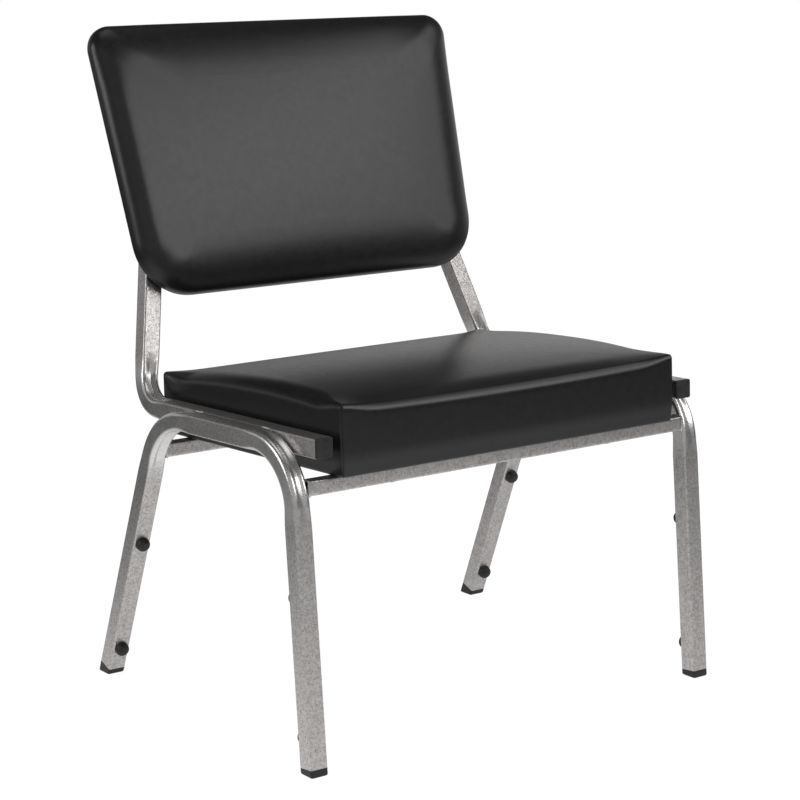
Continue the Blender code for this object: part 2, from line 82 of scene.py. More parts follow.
class Side(Enum):
    """The chair's two sides, with the sign of their X."""

    LEFT = -1
    RIGHT = 1

    @property
    def label(self) -> str:
        """The side's name as the nodes have it."""
        return self.name.lower()

    @property
    def mirror(self) -> Array:
        """Factors that carry a point of the right-hand side over to this side."""
        return np.array([self.value, 1.0, 1.0])


class End(Enum):
    """The front and the rear leg of a leg frame."""

    FRONT = "front"
    REAR = "rear"


def unit(vectors: Array) -> Array:
    """Vectors scaled to length one, along the last axis."""
    return vectors / np.linalg.norm(vectors, axis=-1, keepdims=True)


def smooth_step(low: float, high: float, value: Array) -> Array:
    """Zero below low, one above high, and t * t * (3 - 2 t) between them."""
    share = np.clip((value - low) / (high - low), 0.0, 1.0)
    return share * share * (3.0 - 2.0 * share)


def travelled(line: Array) -> Array:
    """Length along a line of points up to each of them."""
    return np.concatenate([[0.0], np.cumsum(np.linalg.norm(np.diff(line, axis=0), axis=1))])


def round_angles(steps: int) -> Array:
    """Angles of evenly spaced points round a circle."""
    return np.linspace(0.0, 2 * math.pi, steps, endpoint=False)


def quarter_turn(steps: int) -> Array:
    """Angles from zero to a right angle."""
    return np.linspace(0.0, math.pi / 2, steps)


@dataclass(frozen=True)
class Place:
    """A frame of its own for a sub-assembly: an origin and three axes as rows."""

    origin: Array
    axes: Array

    def world(self, local: Array) -> Array:
        """Points of this frame in the chair's frame."""
        return self.origin + local @ self.axes

    def local(self, world: Array) -> Array:
        """Points of the chair's frame in this frame."""
        return (world - self.origin) @ self.axes.T


class Shell:
    """Grids of points gathered into one closed mesh, with one mark per point for a finish to read."""

    def __init__(self) -> None:
        """Starts with no grids."""
        self.points: list[Array] = []
        self.quads: list[Array] = []
        self.marks: list[Array] = []
        self.count = 0

    @classmethod
    def of(cls, grid: Array, ring: bool = True, marks: Array | float = 0.0) -> "Shell":
        """Shell of a single grid."""
        shell = cls()
        shell.add(grid, ring, marks)
        return shell

    def add(self, grid: Array, ring: bool = False, marks: Array | float = 0.0) -> None:
        """Adds the quads between neighbouring points of a grid.

        Args:
            grid: points as (rows, columns, 3).
            ring: joins the last column to the first.
            marks: one value per point, or one for all.
        """
        rows, columns = grid.shape[:2]
        index = np.arange(rows * columns).reshape(rows, columns) + self.count
        after = np.roll(index, -1, axis=1)
        last = columns if ring else columns - 1
        quads = np.stack([index[:-1], after[:-1], after[1:], index[1:]], axis=-1)[:, :last]
        self.points.append(grid.reshape(-1, 3))
        self.quads.append(quads.reshape(-1, 4))
        self.marks.append(np.broadcast_to(marks, (rows, columns)).reshape(-1))
        self.count += rows * columns

    def add_pipe(self, outer: Array, inner: Array, marks: Array | float = 0.0) -> None:
        """Adds a pipe: its outer and its inner wall, and the rings that close its two ends."""
        self.add(outer, ring=True, marks=marks)
        self.add(inner, ring=True, marks=marks)
        for row in (0, -1):
            self.add(np.stack([outer[row], inner[row]]), ring=True)

    def piece(self, name: str, mark: str = "") -> bpy.types.Object:
        """Makes the mesh object, with its doubles merged and its faces turned outward.

        Args:
            name: name of the piece.
            mark: name of the point attribute that keeps the marks, if any.

        Returns:
            The new object, at the origin.
        """
        mesh = bpy.data.meshes.new(name)
        mesh.from_pydata(np.concatenate(self.points).tolist(), [], np.concatenate(self.quads).tolist())
        if mark:
            layer = mesh.attributes.new(mark, "FLOAT", "POINT")
            layer.data.foreach_set("value", np.concatenate(self.marks).astype(np.float32))
        work = bmesh.new()
        work.from_mesh(mesh)
        bmesh.ops.remove_doubles(work, verts=work.verts, dist=MERGE)
        bmesh.ops.recalc_face_normals(work, faces=work.faces)
        if work.calc_volume(signed=True) < 0.0:
            bmesh.ops.reverse_faces(work, faces=work.faces)
        work.to_mesh(mesh)
        work.free()
        mesh.shade_smooth()
        mesh.set_sharp_from_angle(angle=SHARP_ANGLE)
        item = bpy.data.objects.new(name, mesh)
        bpy.context.scene.collection.objects.link(item)
        return item


def dress(item: bpy.types.Object, material: bpy.types.Material, slot: Slot, *nodes: str) -> None:
    """Gives a new piece its finish and its body, and says which nodes it stands for.

    Args:
        item: the new piece.
        material: its finish.
        slot: the record's slot for that finish; not used.
        nodes: CAD nodes that the piece replaces.
    """
    item.data.materials.clear()
    item.data.materials.append(material)
    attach(item, BODY)
    if nodes:
        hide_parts(*nodes)
    stood_for = ", ".join(nodes) or "nothing"
    LOG.info("%s: %d faces, stands for %s", item.name, len(item.data.polygons), stood_for)


def paint_node(name: str, material: bpy.types.Material) -> None:
    """Gives a CAD node that stays in view its detailed finish."""
    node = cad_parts[name]
    node.data.materials.clear()
    node.data.materials.append(material)
    LOG.info("%s: packed node with %s", name, material.name)


@dataclass(frozen=True)
class Layout:
    """Driving sizes of the frame, and the places that follow from them on the right-hand side."""

    tube: float = 25.4 * MM
    tube_wall: float = 1.5 * MM
    tube_corner: float = 2.5 * MM
    bar: float = 19.05 * MM
    bar_wall: float = 1.5 * MM
    bar_corner: float = 2.0 * MM
    fit_gap: float = 0.3 * MM
    frame_width: float = 669.0 * MM
    front_rake: float = math.radians(5.5)
    rear_rake: float = math.radians(21.3)
    front_bend: float = 80.0 * MM
    rear_bend: float = 100.0 * MM
    rear_reach: float = 63.3 * MM
    glide_least: float = 8.2 * MM
    seat_slope: float = math.radians(2.4)
    rail_height: float = 421.5 * MM
    rail_setback: float = 8.9 * MM
    rail_length: float = 425.0 * MM
    rail_bend: float = 57.0 * MM
    upright_lean: float = math.radians(14.3)
    back_tilt: float = math.radians(17.6)
    back_rise: float = 139.5 * MM
    back_height: float = 373.5 * MM
    upright_top_margin: float = 45.0 * MM
    seat_drop: float = 54.5 * MM
    seat_overhang: float = 5.0 * MM
    cap_flange: float = 2.5 * MM
    front_y: float = 0.0

    @property
    def rail_outer(self) -> float:
        """Distance of a rail's outer face from the middle."""
        return self.frame_width / 2 - self.tube - self.fit_gap

    @property
    def leg_x(self) -> float:
        """Distance of a leg frame's centre line from the middle."""
        return self.frame_width / 2 - self.tube / 2

    @property
    def along_rail(self) -> Array:
        """Direction of the rails, to the rear."""
        return np.array([0.0, math.cos(self.seat_slope), -math.sin(self.seat_slope)])

    @property
    def seat_normal(self) -> Array:
        """Direction out of the seat."""
        return np.array([0.0, math.sin(self.seat_slope), math.cos(self.seat_slope)])

    @property
    def along_back(self) -> Array:
        """Direction up the back's face."""
        return np.array([0.0, math.sin(self.back_tilt), math.cos(self.back_tilt)])

    @property
    def back_normal(self) -> Array:
        """Direction out of the back's face."""
        return np.array([0.0, -math.cos(self.back_tilt), math.sin(self.back_tilt)])

    @property
    def along_upright(self) -> Array:
        """Direction up the right upright, which leans in as it rises."""
        return unit(np.array([-math.tan(self.upright_lean), math.tan(self.back_tilt), 1.0]))

    @property
    def rail_front(self) -> Array:
        """Front end of the right rail on its centre line."""
        across = self.rail_outer - self.tube / 2
        top = np.array([across, self.front_y + self.rail_setback, self.rail_height])
        return top - self.seat_normal * self.tube / 2

    @property
    def rail_corner(self) -> Array:
        """Where the right rail's line meets its upright's."""
        return self.rail_front + self.along_rail * self.rail_length

    @property
    def upright_run(self) -> float:
        """Rise of the upright's end above the rail's corner, along the back's face."""
        return self.back_rise + self.back_height - self.upright_top_margin - self.cap_flange

    def upright_at(self, rise: float) -> Array:
        """Point of the right upright's centre line at a rise along the back's face."""
        gain = float(self.along_upright @ self.along_back)
        return self.rail_corner + self.along_upright * (rise / gain)

    def rail_corners(self) -> Array:
        """Front end, bend and top of the right rail."""
        start = self.rail_front + self.along_rail * self.cap_flange
        return np.stack([start, self.rail_corner, self.upright_at(self.upright_run)])

    def up_leg(self, end: End) -> Array:
        """Direction up a front or rear leg."""
        rake = self.front_rake if end is End.FRONT else -self.rear_rake
        return np.array([0.0, math.sin(rake), math.cos(rake)])

    def foot(self, end: End) -> Array:
        """Lower end of a right leg on its centre line."""
        rake = self.front_rake if end is End.FRONT else self.rear_rake
        spread = 0.0 if end is End.FRONT else self.rail_corner[1] - self.front_y + self.rear_reach
        height = self.glide_least + self.tube / 2 * math.sin(rake)
        return np.array([self.leg_x, self.front_y + spread, height])

    def leg_at_level(self, end: End, level: Array) -> Array:
        """Where a leg's centre line crosses the plane of the seat through a point."""
        foot = self.foot(end)
        up_leg = self.up_leg(end)
        rise = (level - foot) @ self.seat_normal / (up_leg @ self.seat_normal)
        return foot + up_leg * rise

    def leg_corners(self) -> Array:
        """Front foot, front bend, rear bend and rear foot of the right leg frame."""
        knees = [self.leg_at_level(end, self.rail_front) for end in (End.FRONT, End.REAR)]
        return np.stack([self.foot(End.FRONT), *knees, self.foot(End.REAR)])

    def seat_place(self) -> Place:
        """Frame of the seat: origin at the middle of its lower front edge, Z out of the seat."""
        drop = self.seat_normal * (self.tube / 2 - self.seat_drop)
        origin = self.rail_front + drop - self.along_rail * self.seat_overhang
        return Place(origin * TO_MIDDLE, np.stack([ACROSS, self.along_rail, self.seat_normal]))

    def back_place(self) -> Place:
        """Frame of the back: origin at the middle of its lower edge, Z out of its face."""
        front = self.back_normal * (self.tube / 2 + self.fit_gap)
        origin = self.rail_corner + front + self.along_back * self.back_rise
        return Place(origin * TO_MIDDLE, np.stack([ACROSS, self.along_back, self.back_normal]))

    def bar_along(self, end: End) -> float:
        """Where a cross tube lies along the seat, on the centre line of its legs."""
        place = self.seat_place()
        under = place.origin - self.seat_normal * (self.fit_gap + self.bar / 2)
        return float(place.local(self.leg_at_level(end, under))[1])


def read_layout() -> Layout:
    """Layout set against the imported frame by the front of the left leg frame."""
    plain = Layout()
    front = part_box("leg_frame_left")[0].y
    return Layout(front_y=front + plain.tube / 2 * math.cos(plain.front_rake))


class NodeDesk:
    """Short hand for placing and linking nodes in one shader tree."""

    def __init__(self, tree: bpy.types.NodeTree) -> None:
        """Works on one tree."""
        self.tree = tree

    def node(self, kind: str, inputs: dict | None = None, **settings: object) -> bpy.types.Node:
        """Adds a node.

        Args:
            kind: the node's type name without its ShaderNode prefix.
            inputs: values or sockets by input name or number.
            settings: properties of the node.

        Returns:
            The new node.
        """
        node = self.tree.nodes.new("ShaderNode" + kind)
        for name, value in settings.items():
            setattr(node, name, value)
        for name, value in (inputs or {}).items():
            self.feed(node.inputs[name], value)
        return node

    def feed(self, socket: Socket, value: object) -> None:
        """Links a socket to an input, or sets the input's own value."""
        if isinstance(value, Socket):
            self.tree.links.new(value, socket)
        elif isinstance(value, tuple) and len(value) == 3 and socket.type == "RGBA":
            socket.default_value = (*value, 1.0)
        else:
            socket.default_value = value

    def spread(self, value: object, low: float, high: float, to_low: float, to_high: float) -> Socket:
        """Maps low..high of a value to to_low..to_high, held at the ends."""
        inputs = {"Value": value, "From Min": low, "From Max": high, "To Min": to_low, "To Max": to_high}
        return self.node("MapRange", inputs).outputs["Result"]

    def blend(self, share: object, first: object, second: object) -> Socket:
        """Mixes two colours by a share."""
        node = self.node("Mix", data_type="RGBA")
        self.feed(node.inputs["Factor"], share)
        colours = [socket for socket in node.inputs if socket.type == "RGBA"]
        self.feed(colours[0], first)
        self.feed(colours[1], second)
        return next(socket for socket in node.outputs if socket.type == "RGBA")

    def sum(self, kind: str, first: object, second: object) -> Socket:
        """One step of arithmetic on two values."""
        return self.node("Math", {0: first, 1: second}, operation=kind).outputs[0]

    def vector(self, kind: str, first: object, second: object) -> bpy.types.Node:
        """One step of arithmetic on two vectors, or on a vector and a scale."""
        other = "Scale" if kind == "SCALE" else 1
        return self.node("VectorMath", {0: first, other: second}, operation=kind)

    def stretched(self, where: object, scale: Triple) -> Socket:
        """Coordinates scaled along each axis."""
        return self.node("Mapping", {"Vector": where, "Scale": scale}).outputs["Vector"]

    def noise(self, where: object, scale: object, detail: float, roughness: float = 0.5) -> Socket:
        """Cloudy values around one half."""
        inputs = {"Vector": where, "Scale": scale, "Detail": detail, "Roughness": roughness}
        return self.node("TexNoise", inputs).outputs[0]

    def bump(self, height: object, distance: float, strength: float) -> Socket:
        """Normals of a height over the surface."""
        inputs = {"Height": height, "Distance": distance, "Strength": strength}
        return self.node("Bump", inputs).outputs["Normal"]


def empty_desk(owner: bpy.types.Material | bpy.types.World) -> NodeDesk:
    """Desk of a material's or a world's node tree, cleared of its first nodes."""
    owner.use_nodes = True
    owner.node_tree.nodes.clear()
    return NodeDesk(owner.node_tree)


def node_group(name: str, inputs: tuple[str, ...], outputs: tuple[str, ...]) -> tuple[NodeDesk, dict, dict]:
    """Starts a shader node group with a Vector input and named value sockets.

    Args:
        name: name of the group.
        inputs: names of its value inputs.
        outputs: names of its value outputs.

    Returns:
        The desk of the group, its inputs by name, and its output sockets by name.
    """
    tree = bpy.data.node_groups.new(name, "ShaderNodeTree")
    tree.interface.new_socket(name="Vector", in_out="INPUT", socket_type="NodeSocketVector")
    for label in inputs:
        tree.interface.new_socket(name=label, in_out="INPUT", socket_type="NodeSocketFloat")
    for label in outputs:
        tree.interface.new_socket(name=label, in_out="OUTPUT", socket_type="NodeSocketFloat")
    entry = tree.nodes.new("NodeGroupInput")
    leave = tree.nodes.new("NodeGroupOutput")
    read = {socket.name: socket for socket in entry.outputs if socket.name}
    write = {socket.name: socket for socket in leave.inputs if socket.name}
    return NodeDesk(tree), read, write


class Effects:
    """Surface effects that more than one finish uses, each built once as a node group."""

    centre: Triple = (0.5, 0.5, 0.5)
    vein_wander_scale: float = 420.0
    vein_wander_detail: float = 2.0
    vein_wander: float = 0.0035
    vein_break_scale: float = 260.0
    vein_break: tuple[float, float] = (0.35, 0.6)
    vein_least: float = 0.25
    vein_bank: float = 1.4
    flake_scale: float = 1900.0
    pebble_wander_scale: float = 300.0
    pebble_wander: float = 0.0012
    pebble_reach: float = 0.7
    pebble_uneven_scale: float = 240.0
    pebble_uneven_detail: float = 2.0
    pebble_least: float = 0.6
    plain_detail: float = 1.0
    cloud_detail: float = 3.0
    cloud_roughness: float = 0.55
    cloud_range: tuple[float, float] = (0.3, 0.7)

    def __init__(self) -> None:
        """Builds the groups."""
        self.veins = self.vein_group()
        self.pebble = self.pebble_group()
        self.mottle = self.mottle_group()

    def vein_group(self) -> bpy.types.NodeTree:
        """Network of fine wavering veins: cells bent by noise, dark along the cells' edges."""
        desk, read, write = node_group("Vein network", ("Scale", "Width"), ("Veins", "Flake", "Height"))
        wander = desk.node("TexNoise", {"Vector": read["Vector"], "Scale": self.vein_wander_scale,
                                        "Detail": self.vein_wander_detail})
        centred = desk.vector("SUBTRACT", wander.outputs["Color"], self.centre)
        shift = desk.vector("SCALE", centred.outputs[0], self.vein_wander)
        bent = desk.vector("ADD", read["Vector"], shift.outputs[0])
        cells = desk.node("TexVoronoi", {"Vector": bent.outputs[0], "Scale": read["Scale"]},
                          feature="DISTANCE_TO_EDGE")
        share = desk.sum("DIVIDE", cells.outputs["Distance"], read["Width"])
        edge = desk.spread(share, 0.0, 1.0, 1.0, 0.0)
        patches = desk.noise(bent.outputs[0], self.vein_break_scale, self.plain_detail)
        broken = desk.spread(patches, *self.vein_break, self.vein_least, 1.0)
        desk.feed(write["Veins"], desk.sum("MULTIPLY", edge, broken))
        desk.feed(write["Flake"], desk.noise(read["Vector"], self.flake_scale, self.plain_detail))
        desk.feed(write["Height"], desk.spread(share, 0.0, self.vein_bank, 0.0, 1.0))
        return desk.tree

    def pebble_group(self) -> bpy.types.NodeTree:
        """Pebbled grain of embossed vinyl and moulded plastic: rounded cells of uneven height."""
        desk, read, write = node_group("Pebble grain", ("Scale",), ("Height",))
        wander = desk.node("TexNoise", {"Vector": read["Vector"], "Scale": self.pebble_wander_scale,
                                        "Detail": self.plain_detail})
        shift = desk.vector("SCALE", wander.outputs["Color"], self.pebble_wander)
        bent = desk.vector("ADD", read["Vector"], shift.outputs[0])
        cells = desk.node("TexVoronoi", {"Vector": bent.outputs[0], "Scale": read["Scale"]},
                          feature="SMOOTH_F1")
        dome = desk.spread(cells.outputs["Distance"], 0.0, self.pebble_reach, 1.0, 0.0)
        cloud = desk.noise(read["Vector"], self.pebble_uneven_scale, self.pebble_uneven_detail)
        uneven = desk.spread(cloud, *self.cloud_range, self.pebble_least, 1.0)
        desk.feed(write["Height"], desk.sum("MULTIPLY", dome, uneven))
        return desk.tree

    def mottle_group(self) -> bpy.types.NodeTree:
        """Broad soft clouds, for handling marks and uneven sheen."""
        desk, read, write = node_group("Soft mottle", ("Scale",), ("Mottle",))
        cloud = desk.noise(read["Vector"], read["Scale"], self.cloud_detail, self.cloud_roughness)
        desk.feed(write["Mottle"], desk.spread(cloud, *self.cloud_range, 0.0, 1.0))
        return desk.tree


class Finish:
    """Base of the finishes: a material with one Principled shader and its nodes."""

    def start(self, name: str,
              **sockets: object) -> tuple[bpy.types.Material, NodeDesk, bpy.types.Node, Socket]:
        """Starts a material.

        Args:
            name: name of the material.
            sockets: constant values of the shader, with _ for the blanks in their names.

        Returns:
            The material, its desk, its shader and its Object coordinates.
        """
        material = bpy.data.materials.new(name)
        material.use_nodes = True
        desk = NodeDesk(material.node_tree)
        shader = material.node_tree.nodes["Principled BSDF"]
        for key, value in sockets.items():
            desk.feed(shader.inputs[key.replace("_", " ")], value)
        where = desk.node("TexCoord").outputs["Object"]
        return material, desk, shader, where

    @staticmethod
    def effect(desk: NodeDesk, tree: bpy.types.NodeTree, where: object, **values: float) -> bpy.types.Node:
        """Places a shared effect in a material with its own values."""
        node = desk.node("Group", node_tree=tree)
        desk.feed(node.inputs["Vector"], where)
        for name, value in values.items():
            desk.feed(node.inputs[name], value)
        return node


@dataclass(frozen=True)
class SilverVein(Finish):
    """Powder coat of silver flake with a network of dark veins, smoother where the tube is bent, with a
    painted highlight there.
    """

    silver: Colour = (0.515, 0.493, 0.48)
    bright: Colour = (0.635, 0.612, 0.60)
    vein: Colour = (0.16, 0.155, 0.15)
    # Lighter colour painted on the bends as a highlight.
    polished: Colour = (0.74, 0.73, 0.72)
    metallic: float = 0.96
    rough: float = 0.3
    rough_bend: float = 0.25
    rough_cloud: float = 0.03
    rough_vein: float = 0.15
    vein_scale: float = 640.0
    vein_width: float = 0.17
    bend_veins: float = 0.25
    mottle_scale: float = 60.0
    flake_range: tuple[float, float] = (0.35, 0.65)
    relief: float = 0.12 * MM
    relief_strength: float = 0.5

    def material(self, effects: Effects) -> bpy.types.Material:
        """Builds the coat's material."""
        material, desk, shader, where = self.start("Silver vein coat", Metallic=self.metallic)
        bend = desk.node("Attribute", attribute_name="bend").outputs["Fac"]
        calm = desk.spread(bend, 0.0, 1.0, 1.0, self.bend_veins)
        veins = self.effect(desk, effects.veins, where, Scale=self.vein_scale, Width=self.vein_width)
        mottle = self.effect(desk, effects.mottle, where, Scale=self.mottle_scale).outputs["Mottle"]
        share = desk.sum("MULTIPLY", veins.outputs["Veins"], calm)
        flake = desk.spread(veins.outputs["Flake"], *self.flake_range, 0.0, 1.0)
        # The bends are painted lighter as a highlight; their lower roughness is set below.
        base = desk.blend(bend, desk.blend(flake, self.silver, self.bright), self.polished)
        desk.feed(shader.inputs["Base Color"], desk.blend(share, base, self.vein))
        rough = desk.spread(bend, 0.0, 1.0, self.rough, self.rough_bend)
        cloudy = desk.sum("ADD", rough, desk.spread(mottle, 0.0, 1.0, -self.rough_cloud, self.rough_cloud))
        dulled = desk.sum("MULTIPLY", share, self.rough_vein)
        desk.feed(shader.inputs["Roughness"], desk.sum("ADD", cloudy, dulled))
        height = desk.sum("MULTIPLY", veins.outputs["Height"], calm)
        desk.feed(shader.inputs["Normal"], desk.bump(height, self.relief, self.relief_strength))
        return material


@dataclass(frozen=True)
class Mottled(Finish):
    """Two tones and two sheens in soft clouds, over a pebbled grain where the finish has one."""

    name: str
    tones: tuple[Colour, Colour]
    roughs: tuple[float, float]
    mottle_scale: float
    specular: float = 0.5
    metallic: float = 0.0
    grain_scale: float = 0.0
    grain_depth: float = 0.0
    grain_strength: float = 0.5

    def material(self, effects: Effects) -> bpy.types.Material:
        """Builds the material."""
        constants = {"Specular_IOR_Level": self.specular, "Metallic": self.metallic}
        material, desk, shader, where = self.start(self.name, **constants)
        mottle = self.effect(desk, effects.mottle, where, Scale=self.mottle_scale).outputs["Mottle"]
        desk.feed(shader.inputs["Base Color"], desk.blend(mottle, *self.tones))
        desk.feed(shader.inputs["Roughness"], desk.spread(mottle, 0.0, 1.0, *self.roughs))
        if self.grain_scale:
            grain = self.effect(desk, effects.pebble, where, Scale=self.grain_scale).outputs["Height"]
            desk.feed(shader.inputs["Normal"], desk.bump(grain, self.grain_depth, self.grain_strength))
        return material


def black_vinyl() -> Mottled:
    """Black upholstery vinyl with a fine pebbled grain and a slightly uneven sheen."""
    tones = ((0.0065, 0.0065, 0.0068), (0.0095, 0.0095, 0.0098))
    return Mottled("Black vinyl", tones, roughs=(0.28, 0.325), mottle_scale=110.0, specular=0.41,
                   grain_scale=1100.0, grain_depth=0.06 * MM)


def moulded_plastic() -> Mottled:
    """Black moulded plastic with a spark-eroded skin and paler scuffs."""
    tones = ((0.014, 0.014, 0.015), (0.028, 0.028, 0.029))
    return Mottled("Black moulded plastic", tones, roughs=(0.42, 0.56), mottle_scale=140.0, specular=0.3,
                   grain_scale=2600.0, grain_depth=0.03 * MM)


def zinc_plate() -> Mottled:
    """Bright zinc plate on screws, nuts and staples."""
    tones = ((0.52, 0.53, 0.55), (0.36, 0.37, 0.38))
    return Mottled("Zinc plate", tones, roughs=(0.26, 0.44), mottle_scale=420.0, metallic=1.0)


@dataclass(frozen=True)
class Plywood(Finish):
    """Birch plywood boards under the upholstery."""

    pale: Colour = (0.55, 0.38, 0.22)
    dark: Colour = (0.36, 0.22, 0.12)
    stretch: Triple = (0.06, 1.0, 1.0)
    streak_scale: float = 380.0
    streak_detail: float = 3.0
    streak_roughness: float = 0.6
    streak_range: tuple[float, float] = (0.35, 0.7)
    sheen_range: tuple[float, float] = (0.3, 0.7)
    roughs: tuple[float, float] = (0.55, 0.75)
    mottle_scale: float = 18.0
    mottle_least: float = 0.5
    relief: float = 0.1 * MM
    relief_strength: float = 0.4

    def material(self, effects: Effects) -> bpy.types.Material:
        """Builds the wood's material: long streaks across the chair."""
        material, desk, shader, where = self.start("Birch plywood")
        long = desk.stretched(where, self.stretch)
        streak = desk.noise(long, self.streak_scale, self.streak_detail, self.streak_roughness)
        cloud = self.effect(desk, effects.mottle, where, Scale=self.mottle_scale).outputs["Mottle"]
        share = desk.sum("MULTIPLY", desk.spread(streak, *self.streak_range, 0.0, 1.0),
                         desk.spread(cloud, 0.0, 1.0, self.mottle_least, 1.0))
        desk.feed(shader.inputs["Base Color"], desk.blend(share, self.pale, self.dark))
        desk.feed(shader.inputs["Roughness"], desk.spread(streak, *self.sheen_range, *self.roughs))
        desk.feed(shader.inputs["Normal"], desk.bump(streak, self.relief, self.relief_strength))
        return material


@dataclass(frozen=True)
class DustCloth(Finish):
    """Black non-woven cloth stapled under the seat: crossing fibres, matt."""

    black: Colour = (0.012, 0.012, 0.013)
    fibre: Colour = (0.035, 0.035, 0.037)
    sheen: float = 0.15
    stretch_across: Triple = (0.12, 1.0, 1.0)
    stretch_along: Triple = (1.0, 0.12, 1.0)
    thread_scale: float = 1400.0
    thread_detail: float = 2.0
    thread_range: tuple[float, float] = (0.5, 0.75)
    mottle_scale: float = 40.0
    roughs: tuple[float, float] = (0.82, 0.95)
    relief: float = 0.08 * MM
    relief_strength: float = 0.6

    def material(self, effects: Effects) -> bpy.types.Material:
        """Builds the cloth's material: two sets of streaks, across and along."""
        material, desk, shader, where = self.start("Dust cloth", Sheen_Weight=self.sheen)
        across, along = (desk.noise(desk.stretched(where, stretch), self.thread_scale, self.thread_detail)
                         for stretch in (self.stretch_across, self.stretch_along))
        threads = desk.sum("MAXIMUM", across, along)
        mottle = self.effect(desk, effects.mottle, where, Scale=self.mottle_scale).outputs["Mottle"]
        share = desk.spread(threads, *self.thread_range, 0.0, 1.0)
        desk.feed(shader.inputs["Base Color"], desk.blend(share, self.black, self.fibre))
        desk.feed(shader.inputs["Roughness"], desk.spread(mottle, 0.0, 1.0, *self.roughs))
        desk.feed(shader.inputs["Normal"], desk.bump(threads, self.relief, self.relief_strength))
        return material


@dataclass(frozen=True)
class Wardrobe:
    """The chair's finishes as materials."""

    coat: bpy.types.Material
    vinyl: bpy.types.Material
    plastic: bpy.types.Material
    zinc: bpy.types.Material
    plywood: bpy.types.Material
    cloth: bpy.types.Material


def make_wardrobe() -> Wardrobe:
    """Builds the shared effects and every finish once."""
    effects = Effects()
    kinds = (SilverVein(), black_vinyl(), moulded_plastic(), zinc_plate(), Plywood(), DustCloth())
    return Wardrobe(*(kind.material(effects) for kind in kinds))


def square_loop(side: float, corner: float, flat_steps: int, corner_steps: int) -> Array:
    """Rounded square, anticlockwise: each side's flat, then a quarter circle to the next side.

    Args:
        side: width over the flats.
        corner: radius of the corners.
        flat_steps: steps on each flat.
        corner_steps: steps round each corner.

    Returns:
        Points as (count, 2).
    """
    half = side / 2
    flat = half - corner
    run = np.linspace(-flat, flat, flat_steps + 1)[:-1]
    bow = np.linspace(0.0, math.pi / 2, corner_steps + 1)[:-1]
    edge = np.stack([np.full_like(run, half), run], axis=-1)
    arc = np.stack([flat + corner * np.cos(bow), flat + corner * np.sin(bow)], axis=-1)
    quarter = np.concatenate([edge, arc])
    turned = [quarter]
    for _ in range(3):
        quarter = np.stack([-quarter[:, 1], quarter[:, 0]], axis=-1)
        turned.append(quarter)
    return np.concatenate(turned)


def section_axes(heading: Array) -> tuple[Array, Array]:
    """Axes of a tube's section: the part of X square to the heading, and their cross product."""
    side = unit(ACROSS - heading * (heading @ ACROSS)[..., None])
    return side, np.cross(heading, side)


@dataclass(frozen=True)
class BentPath:
    """Centre line of a bent tube: straight runs joined by arcs that touch both of them."""

    corners: Array
    radii: tuple[float, ...]
    arc_step: float = 2.6 * MM
    run_step: float = 26.0 * MM
    lead: float = 34.0 * MM
    dent_before: float = 28.0 * MM
    dent_inside: float = 9.0 * MM

    def run_lengths(self, length: float) -> Array:
        """Stations along a straight run, close together near its ends where the bends start."""
        coarse = np.linspace(0.0, length, max(2, int(length / self.run_step)))
        near = np.linspace(0.0, self.lead, int(self.lead / self.arc_step) + 1)
        return np.unique(np.concatenate([coarse, near, length - near]).clip(0.0, length).round(6))

    def stations(self) -> tuple[Array, Array, Array]:
        """Follows the line.

        An arc of radius r turns about a centre at r from both runs, so it starts r * tan(half the
        turn) before the corner.

        Returns:
            Places, headings, and how far each station is inside a bend: 0 outside, 1 well inside.
        """
        places, headings, ways, spans = [], [], [], []
        start = self.corners[0]
        passed = 0.0
        for number, radius in enumerate([*self.radii, None]):
            corner = self.corners[number + 1]
            heading = unit(corner - self.corners[number])
            if radius is None:
                stop = corner
            else:
                after = unit(self.corners[number + 2] - corner)
                turn = math.acos(float(heading @ after))
                stop = corner - heading * radius * math.tan(turn / 2)
            run = self.run_lengths(float(np.linalg.norm(stop - start)))
            places.append(start + heading * run[:, None])
            headings.append(np.broadcast_to(heading, (len(run), 3)))
            ways.append(passed + run)
            passed += run[-1]
            if radius is None:
                break
            inward = unit(after - heading * float(heading @ after))
            swing = np.linspace(0.0, turn, int(radius * turn / self.arc_step))[1:-1, None]
            centre = stop + inward * radius
            places.append(centre + radius * (heading * np.sin(swing) - inward * np.cos(swing)))
            headings.append(heading * np.cos(swing) + inward * np.sin(swing))
            ways.append(passed + radius * swing[:, 0])
            spans.append((passed, passed + radius * turn))
            passed += radius * turn
            start = corner + after * radius * math.tan(turn / 2)
        way = np.concatenate(ways)
        bend = np.zeros_like(way)
        for low, high in spans:
            rise = smooth_step(low - self.dent_before, low + self.dent_inside, way)
            fall = smooth_step(high - self.dent_inside, high + self.dent_before, way)
            bend = bend + rise * (1.0 - fall)
        return np.concatenate(places), np.concatenate(headings), bend


